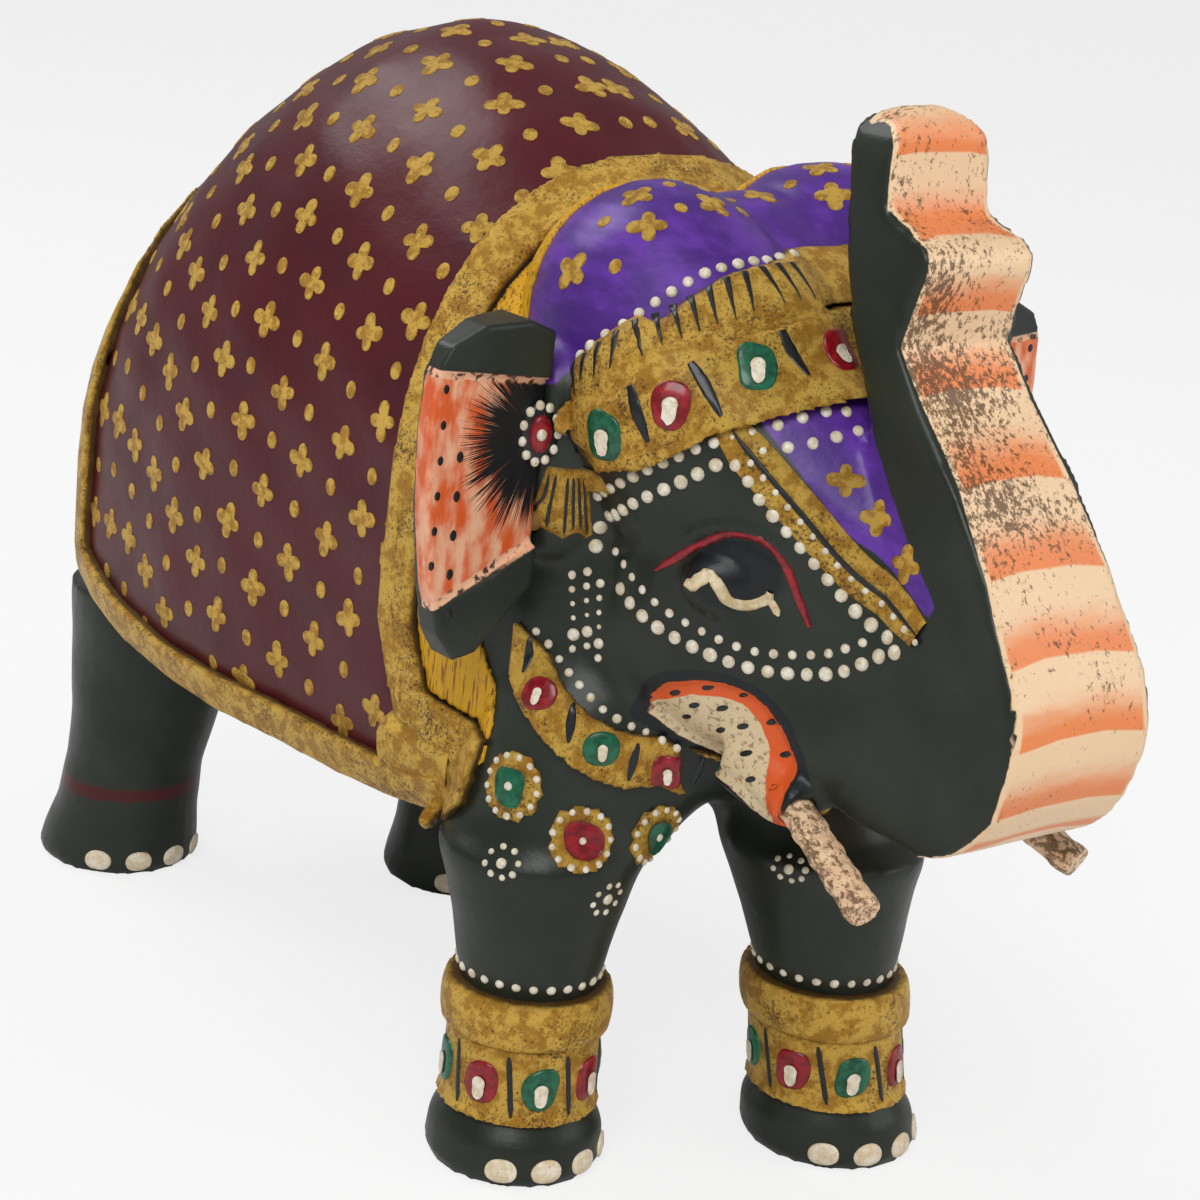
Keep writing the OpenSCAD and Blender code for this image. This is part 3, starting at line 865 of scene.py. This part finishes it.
def cap_motifs(skin, heap):
    for row in range(-7, 8):
        for col in range(0, 6):
            x = row * 4.6 + (2.3 if col % 2 else 0)
            y = -27.5 - col * 5.2
            if abs(x) > 31:
                continue
            place, _ = skin.cast(Vector((x * 1.15, y, 150)), Vector((-0.12 * x / 31, 0, -1)))
            if place is None or place.z < band_height(place.x, 119.2, 13) or place.y < -45:
                continue
            if (row + col) % 2:
                blob(heap, skin, place, oval(0.8, 0.95), 0.14)
            else:
                blob(heap, skin, place, clover(2.5, 4, rng.uniform(-0.4, 0.4)), 0.16)


# ---------------------------------------------------------------- head


def brow_front(x, height, skin):
    place, normal = skin.cast(Vector((x, -120, height)), Vector((0, 1, 0)))
    return place


CAP_ROW = [(-29.6, -32.8, 103.2), (-28.7, -35.3, 105.4), (-25.8, -38.2, 109.4),
           (-19.5, -40.6, 114), (-12.1, -42.3, 116.4), (-6, -42, 117)]


def cap_beads(heap, skin):
    for line in mirror_line(CAP_ROW):
        for point in curve_points(line, 2.2):
            bead(heap, skin, point, 0.72)


EYE_LOOP = [(-25.1, -33.9, 80.4), (-25, -34.6, 83.6), (-26, -38.1, 85.5), (-26.6, -42, 88.1),
            (-24.7, -47.4, 91.8), (-21.8, -52, 94.9), (-19.4, -55.4, 90.9), (-15.7, -60, 85.6),
            (-12.2, -65, 80.2), (-10.9, -70.4, 77.6), (-11.3, -68, 75.8), (-13.1, -63.8, 72.8),
            (-16, -57.4, 71.2), (-19.5, -51.8, 71.4), (-22.1, -46.5, 72.6), (-24.1, -41.3, 74.6),
            (-24.3, -35.9, 77.4)]
EYE_INNER = [(-23.9, -35.9, 80.2), (-24.2, -41.7, 77.4), (-22.7, -46.2, 75.3),
             (-18.9, -53.1, 73.4), (-16.3, -57.3, 73.4), (-13.6, -62.1, 74.6), (-11.8, -66.1, 77)]
EYE_OUTER = [(-26.3, -34.8, 86.9), (-27.7, -40.6, 90.2), (-26.3, -45.4, 93.5),
             (-23.7, -49.4, 96.4), (-19.9, -52.6, 98.4)]
STRIP_LINE = [(-21.6, -50.6, 98.8), (-20.4, -52.8, 96.4), (-17.2, -58.3, 91.1),
              (-12.8, -64.4, 84.8), (-10.8, -73.4, 80)]
BROW_LINE = [(-24, -43.8, 80.3), (-22.8, -48.2, 83.9), (-20.8, -52.1, 86.7), (-18.7, -55.6, 86.8),
             (-17.3, -57.3, 84.8), (-16.1, -58.8, 81.4), (-14.8, -60.4, 77.5)]
LOWER_LID = [(-22.5, -51.4, 82), (-21.9, -52.6, 80.6), (-20.8, -53.4, 79.1), (-19.1, -54.5, 78.7),
             (-17.8, -55.8, 79.6), (-17.5, -56.3, 80.9)]
LID_LEAF = [(-24.1, -49.4, 80.2), (-23.3, -50.6, 81), (-22.4, -51.6, 82.1)]
LID_TAIL = [(-17.7, -55.9, 80), (-17.2, -56.6, 79.2), (-16.8, -57.3, 78)]
PANEL_BEADS = [[(-17.3, -53.9, 99.4), (-12.3, -55.7, 101), (-9.7, -57.4, 102.2)],
               [(-19.3, -54.1, 96.6), (-14.1, -57.2, 98), (-9.4, -58.8, 99.6)]]


def mirror_line(line):
    return [line, [(-p[0], p[1], p[2]) for p in line]]


def face_paint(skin, heaps):
    for loop in mirror_line(EYE_LOOP):
        for point in curve_points(loop, 2.35)[:-1]:
            bead(heaps["beads"], skin, point, 0.84)
    for line in mirror_line(EYE_INNER):
        for point in curve_points(line, 2.15):
            bead(heaps["beads"], skin, point, 0.55)
    for line in mirror_line(EYE_OUTER):
        for point in curve_points(line, 2.2):
            bead(heaps["beads"], skin, point, 0.68)
    for line in mirror_line(STRIP_LINE):
        ribbon(heaps["gold"], skin, line, 5.2, 0.42, taper=0.75)
        ribbon(heaps["black"], skin, line, 0.7, 0.12, base=0.45)
        for point in curve_points(line, 2.1)[2:]:
            bead(heaps["beads"], skin, point + Vector((0, 0, -0.8)), 0.44, base=0.42)
    for row in PANEL_BEADS:
        for line in mirror_line(row):
            for point in curve_points(line, 2.75):
                bead(heaps["beads"], skin, point, 0.76)
    for line in mirror_line(BROW_LINE):
        ribbon(heaps["red"], skin, line, 1.05, 0.25, taper=0.45)
    for line in mirror_line(LOWER_LID):
        ribbon(heaps["cream"], skin, line, 1.5, 0.25, taper=0.55)
    for line in mirror_line(LID_LEAF):
        ribbon(heaps["cream"], skin, line, 1.7, 0.22, taper=0.3)
    for line in mirror_line(LID_TAIL):
        ribbon(heaps["cream"], skin, line, 1.0, 0.2, taper=0.3)
    for column, (y, lift) in enumerate(((-32.3, 0), (-33.7, 0.7), (-35.2, -0.4))):
        for k, size in enumerate((0.52, 0.44, 0.34, 0.3, 0.74, 0.46)):
            z = 76.6 + lift - k * 1.7 - (0.3 if k > 3 else 0)
            for s in (-1, 1):
                place, _ = skin.cast(Vector((s * 60, y - 0.25 * k, z)), Vector((-s, 0, 0)))
                if place is not None:
                    bead(heaps["beads"], skin, place, size)
    for y, z in ((-60.9, 94.5), (-64.9, 91), (-69.8, 87)):
        for s in (-1, 1):
            place, _ = skin.cast(Vector((s * 40, y, z)), Vector((-s, 0, 0)))
            if place is not None:
                blob(heaps["motif"], skin, place, clover(2.2, 4, 0.0), 0.14)
    dashes = [(-45.4, 65.4), (-49.4, 67.2), (-53.6, 67.4), (-57, 65), (-59, 61.6), (-59.4, 58),
              (-47.6, 64.4), (-51, 65), (-46, 62.4), (-53.4, 63.4), (-50.4, 62), (-54.8, 60.6),
              (-56.4, 58)]
    for y, z in dashes:
        for s in (-1, 1):
            place, _ = skin.cast(Vector((s * 40, y, z)), Vector((-s, 0, 0)))
            if place is not None:
                blob(heaps["black"], skin, place, oval(0.85, 0.36), 0.1,
                     up=(0, 0.5, 1), sink=0.08)


def jewel(heaps, skin, place, kind, outline, height=0.5, drop=0.95, up=(0, 0, 1)):
    """an enamel gem with a white teardrop painted on it"""
    blob(heaps[kind], skin, place, outline, height, up=up, sink=0.2)
    blob(heaps["white"], skin, place, teardrop(drop), 0.2, up=up, base=height, sink=-height + 0.1)


BROW_GEMS = [(-29.4, -39.9, 95.8, "green"), (-26, -45.6, 100.2, "red"),
             (-17.8, -49.5, 104.4, "green"), (-7.2, -50.1, 105.8, "red")]
BROW_BARS = [[(-29.6, -33.8, 95.6), (-29, -34.6, 91.4)], [(-28.4, -41.6, 101.6), (-27.4, -44.6, 96.2)],
             [(-23.9, -45.6, 104.6), (-22, -49.6, 99.4)], [(-14.2, -48.6, 108.6), (-12.8, -52, 102.8)]]


FRINGE_RIM = [(-30, -32.6, 102.4), (-28.8, -35.3, 104.6), (-25.7, -38.8, 108.6),
              (-19, -42, 112.9), (-12, -43.4, 115), (-6.3, -43.6, 115.6)]
FRINGE_FOOT = [(-30.1, -33.6, 98.4), (-28, -41.4, 102.2), (-20.5, -46.2, 106.8),
               (-12.3, -48.4, 109.6), (-6, -49, 110.4)]
FRINGE_END = [(-24, -40.6, 106.6), (-27.8, -37, 102.8), (-29.9, -33.4, 99)]


def brow_gilding(skin, heaps):
    """paste that closes the step between the two brow bands and runs on to the ear"""
    for line in mirror_line(FRINGE_FOOT):
        ribbon(heaps["gold"], bare, line, 5.5, 1.0, taper=0.5)
    for line in mirror_line(FRINGE_END):
        ribbon(heaps["gold"], bare, line, 6.4, 1.35, taper=0.35)


def head_jewels(skin, heaps):
    """gems and slanted black bars along the brow band, tapered spikes on the band above"""
    for x, y, z, kind in BROW_GEMS:
        for s in (-1, 1):
            shape = uneven(2.3, 2.9)
            jewel(heaps, skin, Vector((s * -x, y, z)), kind, shape, 0.32, 1.75)
    for bar in BROW_BARS:
        for top, low in mirror_line(bar):
            middle = (Vector(top) + Vector(low)) / 2
            ribbon(heaps["black"], skin, [top, middle, low], 1.5, 0.1,
                   shape=lambda t: 0.25 + 0.75 * math.sin(math.pi * min(1, 0.15 + 0.8 * t)))
    for rim, foot in zip(mirror_line(FRINGE_RIM), mirror_line(FRINGE_FOOT)):
        tops, feet = curve_points(rim, 2.2), curve_points(foot, 2.2)
        for k, top in enumerate(tops[:-1]):
            low = feet[round(k * (len(feet) - 1) / (len(tops) - 1))]
            tip = top.lerp(low, 0.72)
            ribbon(heaps["black"], skin, [top, (top + tip) / 2, tip], 0.95, 0.1,
                   shape=lambda t: 1.0 - 0.85 * t)


COLLAR_GEMS = [(-30.3, -33.3, 62.4, "red"), (-26.3, -40, 57.6, "green"), (-18, -42.8, 54.6, "red"),
               (-8.6, -44, 54.4, "green")]
COLLAR_BARS = [(-29.8, -29.4, 66.2), (-28.8, -37.3, 60.2), (-22.7, -41.5, 56), (-13.6, -44, 54)]
COLLAR_TOP = [(-29.4, -29.6, 68.4), (-27.5, -36.6, 63.8), (-24.9, -40.1, 60.7), (-17.5, -43.5, 57)]


def cloth_corner(skin, heaps):
    """the gilt corner of the cloth, brushed solid, with a black line above it"""
    for line in mirror_line([(-35.2, -9, 48.8), (-33.6, -15, 48.8), (-32.2, -20.8, 49.2)]):
        ribbon(heaps["gold"], skin, line, 10.5, 1.75, taper=0.7)
    for line in mirror_line([(-34.9, -11, 56.4), (-33.8, -16, 55.8), (-32.2, -22, 54.9)]):
        ribbon(heaps["black"], skin, line, 1.1, 0.9, taper=0.3)


def collar_paint(skin, heaps):
    """gems, bars and an edging of beads on the sloping collar"""
    slope = Vector((0.35, -0.25, 1.0))
    for x, y, z, kind in COLLAR_GEMS:
        for s in (-1, 1):
            shape = uneven(2.3, 2.1)
            jewel(heaps, skin, Vector((s * -x, y, z)), kind, shape, 0.3, 1.15)
    for x, y, z in COLLAR_BARS:
        for s in (-1, 1):
            top = Vector((s * -(x + 0.2), y + 0.2, z + 2.3))
            low = Vector((s * -(x - 0.9), y - 0.9, z - 2.1))
            ribbon(heaps["black"], skin, [top, (top + low) / 2, low], 1.25, 0.1,
                   shape=lambda t: 0.3 + 0.7 * math.sin(math.pi * t))
    for line in mirror_line(COLLAR_TOP):
        for point in curve_points(line, 2.0):
            bead(heaps["beads"], skin, point + Vector((0, 0, 0.6)), 0.55)


ROSETTES = [(-33.3, -32.9, 51.3, "green"), (-28, -40.3, 46.3, "red"), (-17.4, -41.5, 45.6, "green"),
            (33.2, -31.5, 52, "green"), (26.6, -41, 46.6, "red"), (15.6, -50, 47, "green")]


def rosette_paint(skin, heaps):
    """ragged gilt disc, a ring of beads and an enamel centre"""
    for x, y, z, kind in ROSETTES:
        place = Vector((x, y, z))
        ragged = clover(3.75, 11)
        blob(heaps["gold"], skin, place, lambda a: 0.35 * ragged(a) + 3.1, 0.5)
        place, normal = skin.snap(place)
        side, up, n = frame_at(normal)
        for k in range(13):
            a = 2 * math.pi * k / 13
            spot = place + side * (3.6 * math.cos(a)) + up * (3.6 * math.sin(a))
            bead(heaps["beads"], skin, spot, 0.45, base=0.4)
        blob(heaps[kind], skin, place, uneven(1.9, 2.3) if kind == "green"
             else uneven(2.4, 2.5), 0.28, base=0.5, sink=-0.4)
        bead(heaps["beads"], skin, place, 0.52, base=0.74)


def flower(skin, heaps, place, size=1.0):
    place, normal = skin.snap(place)
    side, up, n = frame_at(normal)
    bead(heaps["beads"], skin, place, 0.72 * size)
    for k in range(8):
        a = 2 * math.pi * (k + 0.3) / 8
        spot = place + side * (2.1 * size * math.cos(a)) + up * (2.1 * size * math.sin(a))
        bead(heaps["beads"], skin, spot, 0.42 * size)


LEGS = {"right": (-25.0, -29.5, 0.0, 0.0), "left": (7.8, -44.0, 7.2, -1.0)}
HIND = {"right": (-20.0, 70.0, -1.6, 8.0), "left": (20.0, 44.0, 2.0, 4.0)}


def leg_centre(leg, z):
    x, y, dx, dy = leg
    slope = max(0.0, 1 - z / 44)
    return Vector((x + dx * slope, y + dy * slope, z))


def on_leg(leg, z, angle, skin):
    middle = leg_centre(leg, z)
    way = Vector((math.cos(angle), math.sin(angle), 0))
    place, _ = skin.cast(middle + way * 17.5, -way)
    return place


def leg_paint(skin, heaps):
    for leg in LEGS.values():
        for k in range(8):
            angle = 2 * math.pi * (k + 0.5) / 8
            kind = "green" if k % 2 else "red"
            place = on_leg(leg, 12.9, angle, skin)
            jewel(heaps, skin, place, kind, uneven(2.4, 2.8), 0.35, 1.7)
            bar = 2 * math.pi * k / 8
            a, b = on_leg(leg, 17, bar - 0.05, skin), on_leg(leg, 9, bar + 0.05, skin)
            ribbon(heaps["black"], skin, [a, (a + b) / 2, b], 0.75, 0.12, taper=0.4)
        for k in range(26):
            bead(heaps["beads"], skin, on_leg(leg, 25.8, 2 * math.pi * k / 26, skin), 0.6)
    for spot in ((-36, -35.4, 43), (-23.9, -41.4, 38.4), (-4, -50.6, 42.4), (20.4, -50, 40)):
        flower(skin, heaps, Vector(spot))


def toenails(skin, heaps):
    for legs, start, count in ((LEGS, 0.0, 4), (HIND, 0.0, 4)):
        for leg in legs.values():
            for k in range(count):
                angle = -math.pi / 2 + (k - (count - 1) / 2) * 0.52
                place = on_leg(leg, 2.3, angle, skin)
                if place is None:
                    continue
                ragged = uneven(1.0, 1.0)
                blob(heaps["nail"], skin, place, lambda a: (0.8 + 0.25 * ragged(a)) / math.hypot(
                    math.cos(a) / 1.95, math.sin(a) / 1.55), 0.4)


# ---------------------------------------------------------------- ears and tusks

EAR_DISH = [(-31.0, 100.4), (-50.5, 102.5), (-50.5, 71.9), (-31.0, 81.4)]
FAN_CENTRE = (-32.6, 93.5)


def ear(name, node, side, material):
    """one ear: the slab's own shape with softened edges, painted from its front view"""
    co, faces, edges = moulded([node], 0.35)
    co = relax(co, edges, 4, 0.9)
    x = side * -co[:, 0] * -1.0
    x = np.abs(co[:, 0]) * -1.0
    y, z = co[:, 1], co[:, 2]
    facing = np.where(y < np.interp(x, (-50, -45, -32), (-29.2, -29.6, -29.8)), 1.0, -1.0)
    dish = np.where(facing > 0, inside_poly(x, z, EAR_DISH), -5.0)
    reach = np.hypot(x - FAN_CENTRE[0], z - FAN_CENTRE[1])
    angle = np.arctan2(z - FAN_CENTRE[1], FAN_CENTRE[0] - x)
    piece = to_mesh_object(name, co, faces, material, attrs={
        "dish": dish, "fan_reach": reach, "fan_angle": angle * 3})
    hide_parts(node)
    return BVHTree.FromPolygons([Vector(p) for p in co], faces)


def ear_dots(skin, heaps, side):
    for column, (x, low, high, size) in enumerate(((-47, 75.4, 100, 0.5), (-44.2, 73.6, 92, 0.6))):
        count = 7 if column == 0 else 5
        for k in range(count):
            z = low + (high - low) * k / (count - 1)
            place, n = skin.cast(Vector((side * -x, -60, z)), Vector((0, 1, 0)))
            if place is not None:
                blob(heaps["black"], skin, place, oval(size * 0.8, size * 1.1), 0.1, sink=0.06)


def ear_rosette(skin, heaps, side):
    """red oval in a black disc with a ring of beads, at the root of the ear"""
    centre = Vector((side * 33.0, -60, 94))
    place, normal = skin.cast(centre, Vector((0, 1, 0)))
    if place is None:
        return
    flat = Vector((side * 0.35, -1, 0.0)).normalized()
    right, up, n = frame_at(flat)
    base = place + n * 0.5
    for key, rx, ry, rise, thick in (("black", 2.35, 3.6, 0.0, 0.5), ("red", 1.35, 2.3, 0.4, 0.6)):
        verts, faces = [], []
        for share, h in ((1.0, -2.2), (1.0, thick * 0.5), (0.82, thick), (0.4, thick * 1.15)):
            for k in range(24):
                a = 2 * math.pi * k / 24
                verts.append(base + right * (rx * share * math.cos(a))
                             + up * (ry * share * math.sin(a)) + n * (h + rise))
        for ring in range(3):
            for k in range(24):
                a, b = ring * 24 + k, ring * 24 + (k + 1) % 24
                faces.append((a, b, b + 24, a + 24))
        faces.append(tuple(72 + k for k in range(24)))
        heaps[key].add(verts, faces)
    heap = heaps["beads"]
    for k in range(11):
        a = 2 * math.pi * k / 11
        spot = base + right * (2.15 * math.cos(a)) + up * (3.35 * math.sin(a)) + n * 0.45
        free_bead(heap, spot, n, 0.52)
    free_bead(heap, base + n * 1.05, n, 0.62)


def free_bead(heap, place, n, r):
    side, upward, n = frame_at(n)
    verts, faces = [], []
    for share, rise in ((1.0, -0.5), (1.0, 0.1), (0.84, 0.6), (0.48, 0.9)):
        for k in range(12):
            a = 2 * math.pi * k / 12
            verts.append(place + side * (r * share * math.cos(a))
                         + upward * (r * share * 1.15 * math.sin(a)) + n * (r * 0.7 * rise))
    verts.append(place + n * (r * 0.7))
    for ring in range(3):
        for k in range(12):
            a, b = ring * 12 + k, ring * 12 + (k + 1) % 12
            faces.append((a, b, b + 12, a + 12))
    for k in range(12):
        faces.append((36 + k, 36 + (k + 1) % 12, 48))
    heap.add(verts, faces)


def tassel(skin, heaps, side):
    """short gold tassel under the ear rosette, ragged below, with black strands"""
    columns, rows = 9, 9
    verts, faces, lift = [], [], []
    ragged = [rng.uniform(-0.7, 0.5) for _ in range(columns)]
    strands = []
    for i in range(columns):
        u = i / (columns - 1)
        strand = []
        for j in range(rows):
            t = j / (rows - 1)
            wide = 2.0 + 1.5 * t
            x = -29.6 + (u - 0.5) * 2 * wide + 0.8 * t
            z = 90.2 - t * (9.0 + ragged[i])
            place, n = skin.cast(Vector((side * -x, -75, z)), Vector((0, 1, 0)))
            if place is None:
                place, n = skin.snap(Vector((side * -x, -34, z)))
            edge = i in (0, columns - 1) or j in (0, rows - 1)
            verts.append(place + n * (-0.2 if edge else 0.55))
            lift.append(0.4 if edge else 1.0)
            strand.append(place)
        strands.append(strand)
    for i in range(columns - 1):
        for j in range(rows - 1):
            a = i * rows + j
            faces.append((a, a + 1, a + rows + 1, a + rows))
    heaps["gold"].add(verts, faces, lift)
    for i in (1, 2, 4, 5, 6, 7):
        ribbon(heaps["black"], skin, [strands[i][1], strands[i][4], strands[i][7]], 0.4, 0.1,
               base=0.55, taper=0.3)


def tusks(material):
    """sawn pegs: a long rounded-square section with a blunt end, as the CAD places them"""
    co, faces, edges = moulded(["tusks"], 0.25)
    co = relax(co, edges, 5)
    x, y, z = co.T
    wave = 0.09 * np.sin(y * 1.3 + z) + 0.06 * np.sin(y * 2.9 + x * 2.0)
    co = co + normals(co, faces) * wave[:, None]
    piece = to_mesh_object("tusk_pair", co, faces, material)
    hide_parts("tusks")


# ---------------------------------------------------------------- build the piece


def joined_skin(parts, heap=None):
    verts, faces = [], []
    for piece in parts:
        base = len(verts)
        verts += [v.co / MM - Vector((0, SHIFT, 0)) for v in piece.data.vertices]
        faces += [tuple(base + i for i in p.vertices) for p in piece.data.polygons]
    if heap:
        faces += [tuple(len(verts) + i for i in f) for f in heap.faces]
        verts += [Vector(v) for v in heap.verts]
    return Skin(BVHTree.FromPolygons(verts, faces))


block, block_tree = body()
bare = Skin(block_tree)
gilt = gold_material("gilded_paste")
reliefs = [
    relief("gilt_border", ["blanket_border"], bare, gilt, 1.6, 0.5, 12),
    relief("gilt_jewel_band", ["jewel_band"], bare, gilt, 1.6,
           slide=jewel_droop),
    relief("gilt_fringe_band", ["fringe_band"], bare, gilt, 1.1,
           slide=fringe_rise),
    relief("gilt_collar", ["collar_band"], bare, gilt, 1.1),
    relief("gilt_rings", ["leg_rings"], bare, gilt, 1.7,
           swell=ring_swell),
    relief("gilt_cuffs", ["leg_cuffs"], bare, gilt, 1.1),
]
fringe = fringe_material("ochre_fringe", OCHRE, srgb("8A5410"))
reliefs.append(relief("ochre_panels", ["fringe_panels"], bare, fringe, 0.5, 0.4, 3))
ear_paint = ear_material()
ear("ear_right", "right_ear", -1, ear_paint)
ear("ear_left", "left_ear", 1, ear_paint)
skin = joined_skin([block] + reliefs + [bpy.data.objects["ear_right"], bpy.data.objects["ear_left"]])

motif = gold_material("gold_brushmarks", low=None, dark=0.15, scale=1.6)
heaps = {
    "beads": Heap("paint_beads", enamel_material(
        "bead_cream", srgb("EDE6D6"), srgb("CDBF9F"), 0.3, srgb("8E7350")), "cream_beads"),
    "white": Heap("white_drops", enamel_material(
        "drop_white", srgb("F1EADB"), srgb("D8C8A8"), 0.3, srgb("A48050")), "cream_beads"),
    "cream": Heap("eye_lids_cream", enamel_material(
        "lid_cream", srgb("E8D8B4"), srgb("CDB486"), 0.35, srgb("7A5A34")), "cream_beads"),
    "nail": Heap("toenails", enamel_material(
        "nail_cream", srgb("EDE3CF"), srgb("DCC7A2"), 0.4, srgb("86603A")), "cream_beads"),
    "red": Heap("red_enamel_gems", enamel_material(
        "enamel_red", RED, srgb("6E0C16")), "red_enamel"),
    "green": Heap("green_enamel_gems", enamel_material(
        "enamel_green", EMERALD, srgb("08452F")), "green_enamel"),
    "black": Heap("black_brushwork", enamel_material(
        "paint_black", BLACK, srgb("0C0E10"), 0.3), "painted_wood_green"),
    "gold": Heap("gilt_strokes", gilt, "gilded_paste"),
    "motif": Heap("gold_flowers", motif, "gilded_paste"),
}
blanket_motifs(bare, heaps["motif"])
cap_motifs(bare, heaps["motif"])
face_paint(bare, heaps)
brow_gilding(bare, heaps)
over = Outside(bare, joined_skin([block] + reliefs, heaps["gold"]).tree)
head_jewels(over, heaps)
cap_beads(heaps["beads"], over)
cloth_corner(bare, heaps)
collar_paint(over, heaps)
rosette_paint(skin, heaps)
leg_paint(skin, heaps)
toenails(bare, heaps)
for side in (-1, 1):
    ear_dots(skin, heaps, side)
    ear_rosette(skin, heaps, side)
    tassel(skin, heaps, side)
tusks(tusk_material())
replaced = {
    "beads": ("face_beads", "leg_beads"),
    "red": ("red_gems", "ear_rosettes"),
    "green": ("green_gems",),
    "gold": ("shoulder_rosettes", "forehead_strips"),
}
for key, heap in heaps.items():
    heap.make(replaced.get(key, ()))
dowels = bpy.data.objects["ear_dowels"]
dowels.data.materials.clear()
dowels.data.materials.append(wood_material())

# ---------------------------------------------------------------- floor, light and camera


def floor():
    mat = bpy.data.materials.new("pale_floor")
    mat.use_nodes = True
    tree = mat.node_tree
    skin_node = tree.nodes["Principled BSDF"]
    skin_node.inputs["Base Color"].default_value = (0.86, 0.86, 0.86, 1)
    skin_node.inputs["Roughness"].default_value = 0.9
    glow = tree.nodes.new("ShaderNodeEmission")
    glow.inputs["Strength"].default_value = 1.0
    blend = tree.nodes.new("ShaderNodeMixShader")
    path = tree.nodes.new("ShaderNodeLightPath")
    share = tree.nodes.new("ShaderNodeMath")
    share.operation = "MULTIPLY"
    share.inputs[1].default_value = 0.78
    tree.links.new(path.outputs["Is Camera Ray"], share.inputs[0])
    tree.links.new(share.outputs[0], blend.inputs[0])
    tree.links.new(skin_node.outputs[0], blend.inputs[1])
    tree.links.new(glow.outputs[0], blend.inputs[2])
    tree.links.new(blend.outputs[0], tree.nodes["Material Output"].inputs[0])
    mesh = bpy.data.meshes.new("floor")
    half = 6.0
    mesh.from_pydata([(-half, -half, 0), (half, -half, 0), (half, half, 0), (-half, half, 0)],
                     [], [(0, 1, 2, 3)])
    mesh.materials.append(mat)
    obj = bpy.data.objects.new("floor", mesh)
    bpy.context.scene.collection.objects.link(obj)


def lamp(name, place, aim, size, power):
    data = bpy.data.lights.new(name, "AREA")
    data.size = size
    data.energy = power
    obj = bpy.data.objects.new(name, data)
    obj.location = place
    obj.rotation_euler = (Vector(aim) - Vector(place)).to_track_quat("-Z", "Y").to_euler()
    bpy.context.scene.collection.objects.link(obj)


def world():
    env = bpy.data.worlds.new("studio")
    bpy.context.scene.world = env
    env.use_nodes = True
    tree = env.node_tree
    back = tree.nodes["Background"]
    path = tree.nodes.new("ShaderNodeLightPath")
    most = tree.nodes.new("ShaderNodeMath")
    most.operation = "MAXIMUM"
    tree.links.new(path.outputs["Is Camera Ray"], most.inputs[0])
    tree.links.new(path.outputs["Is Transmission Ray"], most.inputs[1])
    level = tree.nodes.new("ShaderNodeMapRange")
    level.inputs["To Min"].default_value = 0.32
    level.inputs["To Max"].default_value = 1.0
    tree.links.new(most.outputs[0], level.inputs["Value"])
    tree.links.new(level.outputs["Result"], back.inputs["Strength"])
    back.inputs["Color"].default_value = (1, 1, 1, 1)


def camera():
    """the photograph's view: from the elephant's right front, a little above its head"""
    yaw, pitch, roll = (math.radians(a) for a in (39.98, 16.66, 5.98))
    look = Vector((math.sin(yaw) * math.cos(pitch), math.cos(yaw) * math.cos(pitch),
                   -math.sin(pitch)))
    right = Vector((math.cos(yaw), -math.sin(yaw), 0))
    up = right.cross(look)
    tilted = right * math.cos(roll) + up * math.sin(roll)
    upright = up * math.cos(roll) - right * math.sin(roll)
    data = bpy.data.cameras.new("view")
    data.sensor_width = 36.0
    data.lens = 85.4
    data.clip_start = 0.01
    obj = bpy.data.objects.new("view", data)
    turn = Matrix((tilted, upright, -look)).transposed().to_4x4()
    obj.matrix_world = Matrix.Translation(Vector((-0.2303, -0.2804, 0.1699))) @ turn
    bpy.context.scene.collection.objects.link(obj)
    bpy.context.scene.camera = obj


floor()
world()
lamp("key", (-0.55, -0.5, 0.75), (0, 0, 0.07), 0.5, 5.2)
lamp("fill", (0.6, -0.6, 0.45), (0, 0, 0.07), 0.6, 2.2)
lamp("back", (-0.2, 0.6, 0.8), (0, 0, 0.08), 0.5, 3.0)
camera()
bpy.context.scene.view_settings.view_transform = "Standard"
